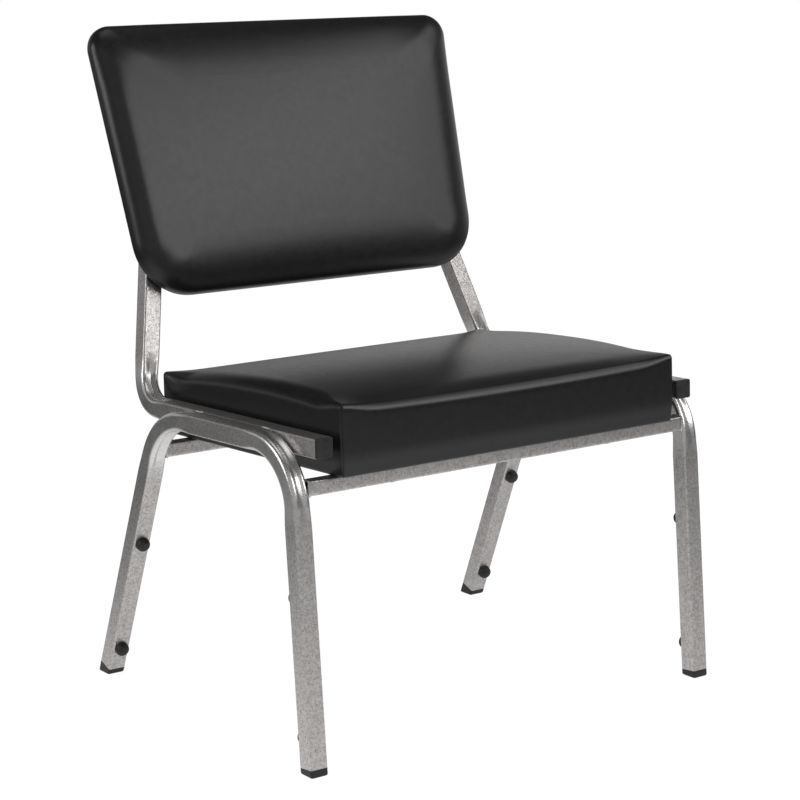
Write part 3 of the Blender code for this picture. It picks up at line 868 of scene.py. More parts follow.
@dataclass(frozen=True)
class BentTube:
    """Square tube carried along a bent path, with the dents that cold bending leaves in it."""

    side: float
    wall: float
    corner: float
    flute: float = 4.4 * MM
    flute_power: float = 1.3
    sink: float = 1.5 * MM
    streak: float = 0.22 * MM
    streaks: float = 2.5
    bend_corner: float = 5.5 * MM
    flat_steps: int = 24
    corner_steps: int = 5

    def shell(self, path: BentPath, inner_sign: int) -> Shell:
        """Outer and inner wall of the tube, joined at its ends.

        On the inside of a bend the wall sinks by flute times cos(across)^flute_power over the flat;
        on the outside it sinks by sink in the same way. Draw streaks ripple the hollow along the bend,
        and the section's corners get rounder there.

        Args:
            path: the centre line.
            inner_sign: which way along the section's second axis the inside of the bends lies.

        Returns:
            The tube's shell, marked by how far each point is inside a bend.
        """
        places, headings, bend = path.stations()
        side_axis, up_axis = section_axes(headings)
        outer = self.wall_grid(self.side, self.corner, bend, inner_sign)
        slim = max(self.corner - self.wall, self.wall / 2)
        inner = self.wall_grid(self.side - 2 * self.wall, slim, bend, inner_sign)
        walls = []
        for section in (outer, inner):
            sideways = section[..., :1] * side_axis[:, None]
            walls.append(places[:, None] + sideways + section[..., 1:] * up_axis[:, None])
        shell = Shell()
        shell.add_pipe(*walls, marks=bend[:, None])
        return shell

    def wall_grid(self, side: float, corner: float, bend: Array, inner_sign: int) -> Array:
        """Section of one wall at every station, as (stations, points, 2)."""
        loop = square_loop(side, corner, self.flat_steps, self.corner_steps)
        rounder = corner - self.corner + self.bend_corner
        soft = square_loop(side, rounder, self.flat_steps, self.corner_steps)
        half = side / 2
        flat = half - corner
        across = np.cos(np.clip(loop[:, 0] / flat, -1.0, 1.0) * math.pi / 2) ** self.flute_power
        within = inner_sign * loop[:, 1]
        streak = self.streak * np.cos(loop[:, 0] / flat * self.streaks * 2 * math.pi)
        hollow = np.where(within > half - MERGE, streak - self.flute, 0.0)
        push = hollow + np.where(within < MERGE - half, self.sink, 0.0)
        grid = loop + bend[:, None, None] * (soft - loop)
        grid[..., 1] += inner_sign * bend[:, None] * push * across
        return grid


def lathe(profile: Array, steps: int) -> Array:
    """Turns a profile of (radius, height) pairs about Z.

    Args:
        profile: pairs as (count, 2).
        steps: points on each circle.

    Returns:
        Grid of points as (count, steps, 3).
    """
    angle = round_angles(steps)
    radius = profile[:, :1]
    height = np.broadcast_to(profile[:, 1:], (len(profile), steps))
    return np.stack([radius * np.cos(angle), radius * np.sin(angle), height], axis=-1)


def facing(origin: Array, normal: Array, near: Array = ACROSS) -> Place:
    """Frame whose Z is a given normal and whose X is square to it, near the given direction."""
    first = unit(near - normal * float(near @ normal))
    return Place(origin, np.stack([first, np.cross(normal, first), normal]))


@dataclass(frozen=True)
class Weld:
    """Weld bead: a round bead with the ripples of its puddles, lying in the corner it fills."""

    radius: float = 1.7 * MM
    pitch: float = 2.4 * MM
    ripple: float = 0.14
    taper_power: int = 8
    rows_per_pitch: int = 6
    steps: int = 12

    def stitch(self, first: Array, last: Array) -> Array:
        """Short bead between two points, closing to a point at both ends.

        Its radius is r * (1 - (2 t - 1)^taper_power)^0.5, swelling by the ripple once every pitch.

        Args:
            first: start of the bead's line.
            last: end of the bead's line.

        Returns:
            Grid of points.
        """
        length = float(np.linalg.norm(last - first))
        share = np.linspace(0.0, 1.0, int(length / self.pitch) * self.rows_per_pitch + 1)
        taper = np.sqrt(1.0 - (2.0 * share - 1.0) ** self.taper_power)
        swell = 1.0 + self.ripple * np.cos(share * length / self.pitch * 2 * math.pi)
        profile = np.column_stack([self.radius * taper * swell, share * length])
        return facing(first, unit(last - first), UPWARD).world(lathe(profile, self.steps))

    def collar(self, loop: Array, outward: Array, along: Array) -> Array:
        """Bead all round a section: circles square to the loop, swelling by the ripple.

        Args:
            loop: points round the section, as (count, 3).
            outward: direction away from the section at each point.
            along: direction of the tube that the bead goes round.

        Returns:
            Grid of points, its last row on its first.
        """
        closed = np.concatenate([loop, loop[:1]])
        away = np.concatenate([outward, outward[:1]])
        way = travelled(closed)
        turns = round(way[-1] / self.pitch)
        radius = self.radius * (1.0 + self.ripple * np.cos(way / way[-1] * turns * 2 * math.pi))
        angle = round_angles(self.steps)
        swing = np.cos(angle)[:, None] * away[:, None] + np.sin(angle)[:, None] * along
        return closed[:, None] + radius[:, None, None] * swing


@dataclass(frozen=True)
class TubeFrame:
    """The welded frame: two leg frames, two rails that run up as uprights, and two cross tubes."""

    layout: Layout
    stitch_places: tuple[float, ...] = (0.254, 0.758)
    stitch_length: float = 17.0 * MM
    stitch_sink: float = 0.4
    bar_flat_steps: int = 6
    bar_corner_steps: int = 5
    bar_stations: int = 25
    weld: Weld = field(default_factory=Weld)

    def build(self, wardrobe: Wardrobe) -> None:
        """Builds and dresses the tubes and their welds."""
        for side in Side:
            self.leg_frame(side, wardrobe)
            self.seat_rail(side, wardrobe)
            self.stitches(side, wardrobe)
        for end in End:
            self.crossbar(end, wardrobe)

    def tube(self) -> BentTube:
        """The square tube that legs and rails are bent from."""
        return BentTube(self.layout.tube, self.layout.tube_wall, self.layout.tube_corner)

    def leg_frame(self, side: Side, wardrobe: Wardrobe) -> None:
        """One leg frame, fluted on the inside of its two bends."""
        radii = (self.layout.front_bend, self.layout.rear_bend)
        path = BentPath(self.layout.leg_corners() * side.mirror, radii)
        item = self.tube().shell(path, 1).piece("leg_tube_" + side.label, "bend")
        dress(item, wardrobe.coat, Slot.COAT, "leg_frame_" + side.label)

    def seat_rail(self, side: Side, wardrobe: Wardrobe) -> None:
        """One rail with its upright, fluted on the inside of the bend."""
        path = BentPath(self.layout.rail_corners() * side.mirror, (self.layout.rail_bend,))
        item = self.tube().shell(path, -1).piece("rail_tube_" + side.label, "bend")
        dress(item, wardrobe.coat, Slot.COAT, "seat_rail_" + side.label)

    def stitches(self, side: Side, wardrobe: Wardrobe) -> None:
        """Weld stitches in the grooves above and below, where a rail lies along its leg frame."""
        layout = self.layout
        shell = Shell()
        knees = layout.leg_corners()[1:3]
        groove = layout.rail_outer + layout.fit_gap / 2
        for level in (1, -1):
            lift = layout.seat_normal * level * (layout.tube / 2 - self.stitch_sink * self.weld.radius)
            for share in self.stitch_places:
                middle = knees[0] + (knees[1] - knees[0]) * share + lift
                middle = np.array([groove, middle[1], middle[2]]) * side.mirror
                half = layout.along_rail * self.stitch_length / 2
                shell.add(self.weld.stitch(middle - half, middle + half), ring=True)
        dress(shell.piece("rail_welds_" + side.label), wardrobe.coat, Slot.COAT)

    def crossbar(self, end: End, wardrobe: Wardrobe) -> None:
        """One cross tube with rounded corners, and the weld beads round its two ends."""
        layout = self.layout
        place = layout.seat_place()
        level = -(layout.fit_gap + layout.bar / 2)
        reach = np.linspace(-layout.rail_outer, layout.rail_outer, self.bar_stations)
        walls = []
        for width, corner in ((layout.bar, layout.bar_corner),
                              (layout.bar - 2 * layout.bar_wall, layout.bar_wall)):
            loop = square_loop(width, corner, self.bar_flat_steps, self.bar_corner_steps)
            local = np.empty((len(reach), len(loop), 3))
            local[..., 0] = reach[:, None]
            local[..., 1] = layout.bar_along(end) + loop[:, 0]
            local[..., 2] = level + loop[:, 1]
            walls.append(place.world(local))
        shell = Shell()
        shell.add_pipe(*walls)
        dress(shell.piece(end.value + "_cross_tube"), wardrobe.coat, Slot.COAT, end.value + "_crossbar")
        beads = Shell()
        centre = place.world(np.array([0.0, layout.bar_along(end), level])) * TO_MIDDLE
        for row, sign in ((0, -1.0), (-1, 1.0)):
            loop = walls[0][row]
            away = unit((loop - centre) * TO_MIDDLE)
            beads.add(self.weld.collar(loop, away, sign * ACROSS), ring=True)
        dress(beads.piece(end.value + "_cross_tube_welds"), wardrobe.coat, Slot.COAT)


@dataclass(frozen=True)
class Fittings:
    """Black plugs, feet and stacking bumpers pushed into the tubes."""

    layout: Layout
    plug_edge: float = 1.1 * MM
    plug_insert: float = 14.0 * MM
    plug_crown: float = 0.5 * MM
    glide_insert: float = 18.0 * MM
    glide_edge: float = 2.6 * MM
    bumper_radius: float = 9.8 * MM
    bumper_height: float = 10.4 * MM
    bumper_stem: float = 3.6 * MM
    bumper_stem_reach: float = 4.5 * MM
    bumper_places: tuple[tuple[str, float], ...] = (("low", 35.5 * MM), ("high", 212.0 * MM))
    bumper_side_power: float = 0.55
    bumper_top_power: float = 0.8
    bumper_rings: int = 16
    bumper_steps: int = 40
    edge_steps: int = 6
    corner_share: float = 0.45
    flat_steps: int = 4
    corner_steps: int = 5

    def build(self, wardrobe: Wardrobe) -> None:
        """Builds and dresses every fitting."""
        for side in Side:
            self.plugs(side, wardrobe)
            for end in End:
                self.glide(side, end, wardrobe)
                self.bumpers(side, end, wardrobe)

    def loop(self, side: float) -> Array:
        """Rounded square of a given width with the tube's corners, or smaller ones where it is narrow."""
        corner = min(self.layout.tube_corner, self.corner_share * side)
        return square_loop(side, corner, self.flat_steps, self.corner_steps)

    def insert_side(self) -> float:
        """Width of the part that goes into a tube."""
        return self.layout.tube - 2 * self.layout.tube_wall - 2 * self.layout.fit_gap

    def plug_shell(self, place: Place) -> Shell:
        """Tube plug: insert, flange, a quarter-round edge and a slightly crowned face.

        Args:
            place: frame at the tube's end, Z out of it.

        Returns:
            The plug's shell.
        """
        layout = self.layout
        slim = self.insert_side()
        bow = quarter_turn(self.edge_steps)
        edge_side = layout.tube - 2 * self.plug_edge * (1.0 - np.cos(bow))
        edge_height = layout.cap_flange - self.plug_edge * (1.0 - np.sin(bow))
        share = np.linspace(1.0, 0.0, self.edge_steps)[1:]
        face_side = edge_side[-1] * share
        face_height = layout.cap_flange + self.plug_crown * (1.0 - share**2)
        sides = np.concatenate([[0.0, slim, slim, layout.tube], edge_side, face_side])
        ends = [-self.plug_insert] * 2 + [layout.fit_gap] * 2
        heights = np.concatenate([ends, edge_height, face_height])
        loops = np.stack([self.loop(width) for width in sides])
        levels = np.broadcast_to(heights[:, None], loops.shape[:2])
        return Shell.of(place.world(np.dstack([loops, levels])))

    def plugs(self, side: Side, wardrobe: Wardrobe) -> None:
        """Plugs in the front end of a rail and the top of its upright."""
        front, corner, top = self.layout.rail_corners() * side.mirror
        for name, origin, normal in (("rail_cap_", front, unit(front - corner)),
                                     ("upright_plug_", top, unit(top - corner))):
            item = self.plug_shell(facing(origin, normal)).piece(name + "piece_" + side.label)
            dress(item, wardrobe.plastic, Slot.PLASTIC, name + side.label)

    def glide(self, side: Side, end: End, wardrobe: Wardrobe) -> None:
        """Foot in the end of a leg: its sides follow the leg, its rounded sole is level."""
        layout = self.layout
        foot = layout.foot(end) * side.mirror
        down = -layout.up_leg(end)
        side_axis, up_axis = section_axes(down[None])
        slim = self.loop(self.insert_side())
        full = self.loop(layout.tube)

        def ring(loop: Array, shift: float) -> Array:
            """A section of the leg, moved along it."""
            return foot + down * shift + loop[:, :1] * side_axis + loop[:, 1:] * up_axis

        def level(loop: Array, height: Array | float) -> Array:
            """A section of the leg, each point slid along the leg to a height above the floor."""
            flat = ring(loop, 0.0)
            return flat + down * ((height - flat[:, 2:]) / down[2])

        bow = quarter_turn(self.edge_steps)
        insets = self.glide_edge * (1.0 - np.cos(bow))
        heights = self.glide_edge * (1.0 - np.sin(bow))
        rings = [np.tile(foot - down * self.glide_insert, (len(slim), 1)), ring(slim, -self.glide_insert),
                 ring(slim, layout.fit_gap), ring(full, layout.fit_gap)]
        for inset, height in zip(insets, heights):
            rings.append(level(self.loop(layout.tube - 2 * inset), height))
        rings.append(np.broadcast_to(rings[-1].mean(axis=0), rings[-1].shape))
        name = f"glide_{end.value}_{side.label}"
        item = Shell.of(np.stack(rings)).piece(name.replace("glide", "foot"))
        dress(item, wardrobe.plastic, Slot.PLASTIC, name)

    def bumpers(self, side: Side, end: End, wardrobe: Wardrobe) -> None:
        """Two stacking bumpers on the side of a leg that faces the other leg.

        A bumper is turned from r = R * cos(a)^side_power and h = H * sin(a)^top_power, on a plain stem.
        """
        layout = self.layout
        up_leg = layout.up_leg(end)
        inward = np.array([0.0, up_leg[2], -up_leg[1]]) * (1.0 if end is End.FRONT else -1.0)
        angle = quarter_turn(self.bumper_rings)
        dome = np.column_stack([self.bumper_radius * np.cos(angle).clip(0.0) ** self.bumper_side_power,
                                self.bumper_height * np.sin(angle) ** self.bumper_top_power])
        dome[-1, 0] = 0.0
        stem = np.array([[0.0, -self.bumper_stem_reach], [self.bumper_stem, -self.bumper_stem_reach],
                         [self.bumper_stem, 0.0]])
        grid = lathe(np.concatenate([stem, dome]), self.bumper_steps)
        for level, height in self.bumper_places:
            origin = layout.foot(end) + up_leg * height + inward * layout.tube / 2
            name = f"bumper_{end.value}_{side.label}_{level}"
            item = Shell.of(facing(origin * side.mirror, inward).world(grid)).piece(name + "_knob")
            dress(item, wardrobe.plastic, Slot.PLASTIC, name)


@dataclass(frozen=True)
class PadShape:
    """Outline and thickness of one upholstered pad in its own frame.

    The outline is a rounded trapezium with its lower edge on Y zero. Z zero is its mounting face.
    Values for four edges are for the lower, right, upper and left one.
    """

    width_low: float
    width_high: float
    length: float
    edge_low: float
    edge_high: float
    side_crown: float
    crown: float
    crown_power: float
    corner_low: float
    corner_high: float
    rolls_in: Four
    rolls_down: Four
    corners_in: tuple[float, float]
    corners_down: tuple[float, float]
    roll_reach: float
    roll_powers: Four
    side_powers: Four
    ear: float
    draw: float
    full_rise: float
    base: float
    hem_round: float = 2.4 * MM
    corner_least: float = 0.4 * MM
    core_corner: float = 0.4 * MM
    core_inset: float = 0.0
    core_steps: int = 7
    ear_reach: float = 26.0 * MM
    front_sag: float = 0.0
    front_reach: float = 17.0 * MM
    seam: float = 0.0
    seam_reach: float = 1.3 * MM
    pinch: float = 1.6
    pinch_reach: float = 7.0 * MM
    pinch_power: int = 4
    inset_samples: int = 28
    across_steps: int = 72
    along_steps: int = 56
    corner_steps: int = 4
    roll_steps: int = 9
    side_steps: int = 10
    hem_steps: int = 4
    slab_steps: int = 5

    def edges(self, inset: float) -> list[Array]:
        """The outline's four edges at an inset, anticlockwise, each from mid-corner to mid-corner.

        The straight sides are moved in by the inset and the corners keep what is left of their radius.

        Args:
            inset: distance inside the full outline.

        Returns:
            Four lists of points as (count, 2), the last point of one being the first of the next.
        """
        low, high = self.width_low / 2, self.width_high / 2
        posts = np.array([[-low, 0.0], [low, 0.0], [high, self.length], [-high, self.length]])
        ways = unit(np.roll(posts, -1, axis=0) - posts)
        inward = np.stack([-ways[:, 1], ways[:, 0]], axis=-1)
        before = np.roll(inward, 1, axis=0)
        shift = (before + inward) / (1.0 + np.sum(before * inward, axis=1, keepdims=True))
        posts = posts + inset * shift
        radii = np.array([self.corner_low, self.corner_low, self.corner_high, self.corner_high]) - inset
        radii = np.maximum(radii, self.least_corner(inset))
        arcs = []
        for number in range(4):
            into, out = ways[number - 1], ways[number]
            turn = math.acos(float(into @ out))
            start = posts[number] - into * radii[number] * math.tan(turn / 2)
            centre = start + before[number] * radii[number]
            swing = np.linspace(0.0, turn, 2 * self.corner_steps + 1)[:, None]
            arcs.append(centre + radii[number] * (into * np.sin(swing) - before[number] * np.cos(swing)))
        half = self.corner_steps
        edges = []
        for number in range(4):
            steps = self.along_steps if number % 2 else self.across_steps
            leave, meet = arcs[number][half:], arcs[(number + 1) % 4][: half + 1]
            share = np.linspace(0.0, 1.0, steps + 1)[1:-1, None]
            straight = leave[-1] + (meet[0] - leave[-1]) * share
            edges.append(np.concatenate([leave, straight, meet]))
        return edges

    def least_corner(self, inset: float) -> float:
        """Least corner radius at an inset; past the roll it falls evenly to a point at the core."""
        rolled = max(self.corners_in)
        if inset <= rolled or not self.core_inset:
            return self.corner_least
        share = (self.core_inset - inset) / (self.core_inset - rolled)
        return max(self.corner_least * share, self.core_corner)

    def outline(self, inset: float) -> Array:
        """The whole outline at an inset, without a repeated point."""
        return np.concatenate([edge[:-1] for edge in self.edges(inset)])

    def patch(self, edges: list[Array]) -> Array:
        """Grid inside four edges: the sum of the two ruled surfaces less the one through the corners."""
        lower, right, upper, left = edges[0], edges[1], edges[2][::-1], edges[3][::-1]
        across = self.shares(lower)[None, :, None]
        along = self.shares(left)[:, None, None]
        ruled = (1 - along) * lower + along * upper + (1 - across) * left[:, None] + across * right[:, None]
        plain = ((1 - along) * ((1 - across) * lower[0] + across * lower[-1])
                 + along * ((1 - across) * upper[0] + across * upper[-1]))
        return ruled - plain

    @staticmethod
    def shares(line: Array) -> Array:
        """How far along a line each of its points is, from 0 to 1."""
        way = travelled(line)
        return way / way[-1]

    def split(self, outline: Array) -> list[Array]:
        """An outline as four edges that share their end points."""
        counts = [self.across_steps + 2 * self.corner_steps, self.along_steps + 2 * self.corner_steps] * 2
        starts = np.concatenate([[0], np.cumsum(counts)])
        closed = np.concatenate([outline, outline[:1]])
        return [closed[start:stop + 1] for start, stop in zip(starts[:-1], starts[1:])]

    def face(self, spots: Array) -> Array:
        """Height of the pad's face, crowned by 1 - |t|^power both ways.

        Ears lift the corners by ear * exp(-(distance / reach)^2). The front edge sags between the
        corners by sag * exp(-(y / reach)^2), less towards both ends.

        Args:
            spots: places as (..., 2).

        Returns:
            Heights as (...).
        """
        rise = np.clip(spots[..., 1] / self.length, 0.0, 1.0)
        half = (self.width_low + (self.width_high - self.width_low) * rise) / 2
        along = 1.0 - np.abs(2.0 * rise - 1.0) ** self.crown_power
        across = 1.0 - np.clip(np.abs(spots[..., 0]) / half, 0.0, 1.0) ** self.crown_power
        edge = self.edge_low + (self.edge_high - self.edge_low) * rise
        ears = self.ear * np.exp(-((self.corner_distance(spots) / self.ear_reach) ** 2))
        sag = self.front_sag * across * np.exp(-((spots[..., 1] / self.front_reach) ** 2))
        return edge + ears - sag + along * (self.side_crown + (self.crown - self.side_crown) * across)

    def corner_distance(self, spots: Array) -> Array:
        """Distance of each spot from the nearest corner of the outline."""
        posts = np.stack([edge[0] for edge in self.edges(0.0)])
        return np.min(np.linalg.norm(spots[..., None, :] - posts, axis=-1), axis=-1)

    def by_edge(self, values: tuple[float, ...], at_corners: tuple[float, float]) -> Array:
        """One value per point of the outline: each edge's own, easing to another at the corners.

        Args:
            values: the four edges' values.
            at_corners: the values at the lower and at the upper corners.

        Returns:
            The values as (points,).
        """
        counts = [len(edge) - 1 for edge in self.edges(0.0)]
        outline = self.outline(0.0)
        ease = smooth_step(0.0, self.roll_reach, self.corner_distance(outline))
        at_corner = np.where(outline[:, 1] < self.length / 2, *at_corners)
        return at_corner + (np.repeat(values, counts) - at_corner) * ease

    def inside(self, insets: Array) -> Array:
        """Points of the outline moved in, each by its own inset, read between sampled outlines."""
        deepest = float(insets.max()) + MERGE
        samples = np.stack([self.outline(inset) for inset in np.linspace(0.0, deepest, self.inset_samples)])
        place = insets / deepest * (self.inset_samples - 1)
        low = np.minimum(place.astype(int), self.inset_samples - 2)
        share = (place - low)[:, None]
        column = np.arange(len(insets))
        return samples[low, column] * (1.0 - share) + samples[low + 1, column] * share

    def cushion(self, place: Place) -> Shell:
        """Closed cushion: crowned face, rolled edge, side drawn in towards the hem, and flat underside.

        The roll is a quarter of a superellipse: inset = reach * (1 - sin(a)^(2/p)), and the fall below
        the face is drop * (1 - cos(a)^(2/q)), where p is the roll's power and q the side's. A sewn
        corner is a groove seam * exp(-(distance / reach)^2) down each side, pinched deeper at its top.

        Args:
            place: the pad's frame.

        Returns:
            The cushion's shell.
        """
        reach = self.by_edge(self.rolls_in, self.corners_in)
        drop = self.by_edge(self.rolls_down, self.corners_down)
        seam = self.seam * np.exp(-((self.corner_distance(self.outline(0.0)) / self.seam_reach) ** 2))
        bend = 2.0 / self.by_edge(self.roll_powers, (ROUND, ROUND))
        side_bend = 2.0 / self.by_edge(self.side_powers, (ROUND, ROUND))
        rings = []
        if self.core_inset:
            for share in np.linspace(1.0, 0.0, self.core_steps + 1)[:-1]:
                spot = self.inside(reach + (self.core_inset - reach) * share)
                rings.append(np.column_stack([spot, self.face(spot)]))
        for swing in quarter_turn(self.roll_steps):
            groove = seam * self.pinch * math.sin(swing) ** self.pinch_power
            spot = self.inside(reach * (1.0 - math.sin(swing) ** bend) + groove)
            fall = 1.0 - max(math.cos(swing), 0.0) ** side_bend
            rings.append(np.column_stack([spot, self.face(spot) - drop * fall]))
        shoulder = rings[-1][:, 2]
        foot = self.base + self.hem_round
        for share in np.linspace(1.0, 0.0, self.side_steps)[1:]:
            height = foot + (shoulder - foot) * share
            tuck = self.draw * (1.0 - smooth_step(0.0, self.full_rise, height - foot))
            pinch = 1.0 + (self.pinch - 1.0) * np.exp(-(((shoulder - height) / self.pinch_reach) ** 2))
            rings.append(np.column_stack([self.inside(tuck + seam * pinch), height]))
        for swing in quarter_turn(self.hem_steps)[1:]:
            inset = self.draw + self.hem_round * (1.0 - math.cos(swing))
            height = np.full(len(reach), foot - self.hem_round * math.sin(swing))
            rings.append(np.column_stack([self.outline(inset), height]))
        shell = Shell.of(place.world(np.stack(rings)))
        top = self.patch(self.split(rings[0][:, :2]))
        shell.add(place.world(np.dstack([top, self.face(top)])))
        under = self.patch(self.split(rings[-1][:, :2]))
        shell.add(place.world(np.dstack([under, np.full(under.shape[:2], self.base)])))
        return shell

    def slab(self, place: Place, inset: float, low: float, high: float, edge: float) -> Shell:
        """Thin board wrapped in cloth, with a half-round edge, inside the pad's outline.

        Args:
            place: the pad's frame.
            inset: distance inside the pad's outline.
            low: level of its lower face.
            high: level of its upper face.
            edge: radius of its edges.

        Returns:
            The slab's shell.
        """
        swing = quarter_turn(self.slab_steps)
        curl, fall = edge * (1.0 - np.sin(swing)), edge * (1.0 - np.cos(swing))
        insets = inset + np.concatenate([curl, fall])
        levels = np.concatenate([high - fall, low + curl])
        rings = []
        for depth, level in zip(insets, levels):
            spot = self.outline(depth)
            rings.append(np.column_stack([spot, np.full(len(spot), level)]))
        shell = Shell.of(place.world(np.stack(rings)))
        for ring, level in ((rings[0], high), (rings[-1], low)):
            spots = self.patch(self.split(ring[:, :2]))
            shell.add(place.world(np.dstack([spots, np.full(spots.shape[:2], level)])))
        return shell


@dataclass(frozen=True)
class Stuffing:
    """Cloth simulation that fills a cover from inside, with its hem held to the board."""

    pressure: float = 4.0
    frames: int = 20
    cap: float = 0.9 * MM
    held_height: float = 14.0 * MM
    stiffness: float = 40.0
    bending: float = 1.0
    quality: int = 4
    mass: float = 0.3
    evening: int = 3

    def settle(self, item: bpy.types.Object, place: Place) -> None:
        """Runs the simulation and keeps a share of it: evened moves, the largest as long as the cap.

        Args:
            item: the cushion.
            place: the cushion's frame.
        """
        count = len(item.data.vertices)
        rest = np.empty(count * 3)
        item.data.vertices.foreach_get("co", rest)
        rest = rest.reshape(-1, 3)
        held = item.vertex_groups.new(name="held")
        held.add(np.flatnonzero(place.local(rest)[:, 2] < self.held_height).tolist(), 1.0, "REPLACE")
        cloth = item.modifiers.new("filling", "CLOTH")
        cloth.settings.quality = self.quality
        cloth.settings.mass = self.mass
        cloth.settings.tension_stiffness = self.stiffness
        cloth.settings.compression_stiffness = self.stiffness
        cloth.settings.shear_stiffness = self.stiffness / 2
        cloth.settings.bending_stiffness = self.bending
        cloth.settings.use_pressure = True
        cloth.settings.uniform_pressure_force = self.pressure
        cloth.settings.effector_weights.gravity = 0.0
        cloth.settings.vertex_group_mass = held.name
        cloth.point_cache.frame_end = self.frames
        scene = bpy.context.scene
        for number in range(1, self.frames + 1):
            scene.frame_set(number)
        settled = item.evaluated_get(bpy.context.evaluated_depsgraph_get())
        shape = np.empty(count * 3)
        settled.data.vertices.foreach_get("co", shape)
        move = self.even(item, shape.reshape(-1, 3) - rest)
        longest = max(float(np.linalg.norm(move, axis=1).max()), MERGE)
        move = move * min(self.cap / longest, 1.0)
        item.modifiers.remove(cloth)
        item.vertex_groups.remove(held)
        scene.frame_set(1)
        item.data.vertices.foreach_set("co", (rest + move).reshape(-1))
        item.data.update()
        LOG.info("%s: filled, %.1f mm kept as %.1f mm", item.name, longest / MM, self.cap / MM)

    def even(self, item: bpy.types.Object, move: Array) -> Array:
        """Takes short creases out of a move: each point gets half its own and half its neighbours' mean.

        Args:
            item: the cushion.
            move: one vector per point.

        Returns:
            The evened vectors.
        """
        ends = np.empty(len(item.data.edges) * 2, dtype=np.int32)
        item.data.edges.foreach_get("vertices", ends)
        ends = ends.reshape(-1, 2)
        both = np.concatenate([ends, ends[:, ::-1]])
        number = np.bincount(both[:, 0], minlength=len(move))[:, None]
        for _ in range(self.evening):
            near = [np.bincount(both[:, 0], move[both[:, 1], axis], len(move)) for axis in range(3)]
            move = (move + np.column_stack(near) / number) / 2
        return move


def smooth_once(item: bpy.types.Object) -> None:
    """One level of subdivision on a soft piece."""
    finer = item.modifiers.new("smooth", "SUBSURF")
    finer.levels = 1
    finer.render_levels = 1


@dataclass(frozen=True)
class Screw:
    """Screw with a low domed head and a hexagon socket, turned about Z with its head below zero."""

    head: float = 5.5 * MM
    height: float = 1.5 * MM
    rim: float = 0.5 * MM
    shank: float = 3.0 * MM
    socket: float = 2.0 * MM
    mouth: float = 2.6 * MM
    depth: float = 1.7 * MM
    drill_point: float = 0.4 * MM
    dome_start: float = 0.15
    dome_rings: int = 7
    steps: int = 36

    def grid(self, length: float) -> Array:
        """Rings of the screw from the socket's floor to the shank's end.

        The dome is an ellipse. A socket ring's radius is the hexagon's, apothem / cos(angle to the flat).

        Args:
            length: length of the shank.

        Returns:
            Grid of points.
        """
        angle = round_angles(self.steps)
        sixth = math.pi / 3
        hexagon = self.socket / np.cos((angle + sixth / 2) % sixth - sixth / 2)
        floor = self.depth - self.height
        rings = [(0.0, floor + self.drill_point), (hexagon, floor), (hexagon, -self.height),
                 (self.mouth, -self.height)]
        for swing in np.linspace(self.dome_start, math.pi / 2, self.dome_rings):
            radius = self.mouth + (self.head - self.mouth) * math.sin(swing)
            rings.append((radius, -self.rim - (self.height - self.rim) * math.cos(swing)))
        rings += [(self.head, 0.0), (self.shank, 0.0), (self.shank, length), (0.0, length)]
        radii = np.stack([np.broadcast_to(radius, angle.shape) for radius, _ in rings])
        heights = np.broadcast_to(np.array([height for _, height in rings])[:, None], radii.shape)
        return np.dstack([radii * np.cos(angle), radii * np.sin(angle), heights])


@dataclass(frozen=True)
class Staple:
    """Wire staple: a round wire carried along a flat bridge, its legs in the board."""

    pitch: float = 34.0 * MM
    inset: float = 7.0 * MM
    clearance: float = 8.0 * MM
    wire: float = 0.45 * MM
    sides: int = 6
    half: float = 5.0 * MM
    leg_half: float = 4.9 * MM
    flat_half: float = 4.6 * MM
    leg_rise: float = 1.6 * MM
    bow_rise: float = 0.1 * MM
    sink: float = -0.2 * MM

    def bridge(self) -> Array:
        """The wire's line as pairs of distance along the cloth's edge and level."""
        rise = np.array([[self.flat_half, self.sink], [self.half, self.bow_rise],
                         [self.leg_half, self.leg_rise]])
        return np.concatenate([rise[::-1] * [-1.0, 1.0], rise])

    def grid(self, spot: Array, heading: Array) -> Array:
        """Grid of one staple, closed to a point at both ends.

        Args:
            spot: its middle on the cloth.
            heading: its direction along the cloth's edge.

        Returns:
            Grid of points in the seat's frame.
        """
        angle = round_angles(self.sides)
        bridge = self.bridge()
        line = np.column_stack([spot + bridge[:, :1] * heading, bridge[:, 1]])
        sideways = np.array([-heading[1], heading[0]])
        grid = np.repeat(line[[0, *range(len(line)), -1], None], self.sides, axis=1)
        grid[1:-1, :, :2] += (self.wire * np.cos(angle))[:, None] * sideways
        grid[1:-1, :, 2] += self.wire * np.sin(angle)
        return grid


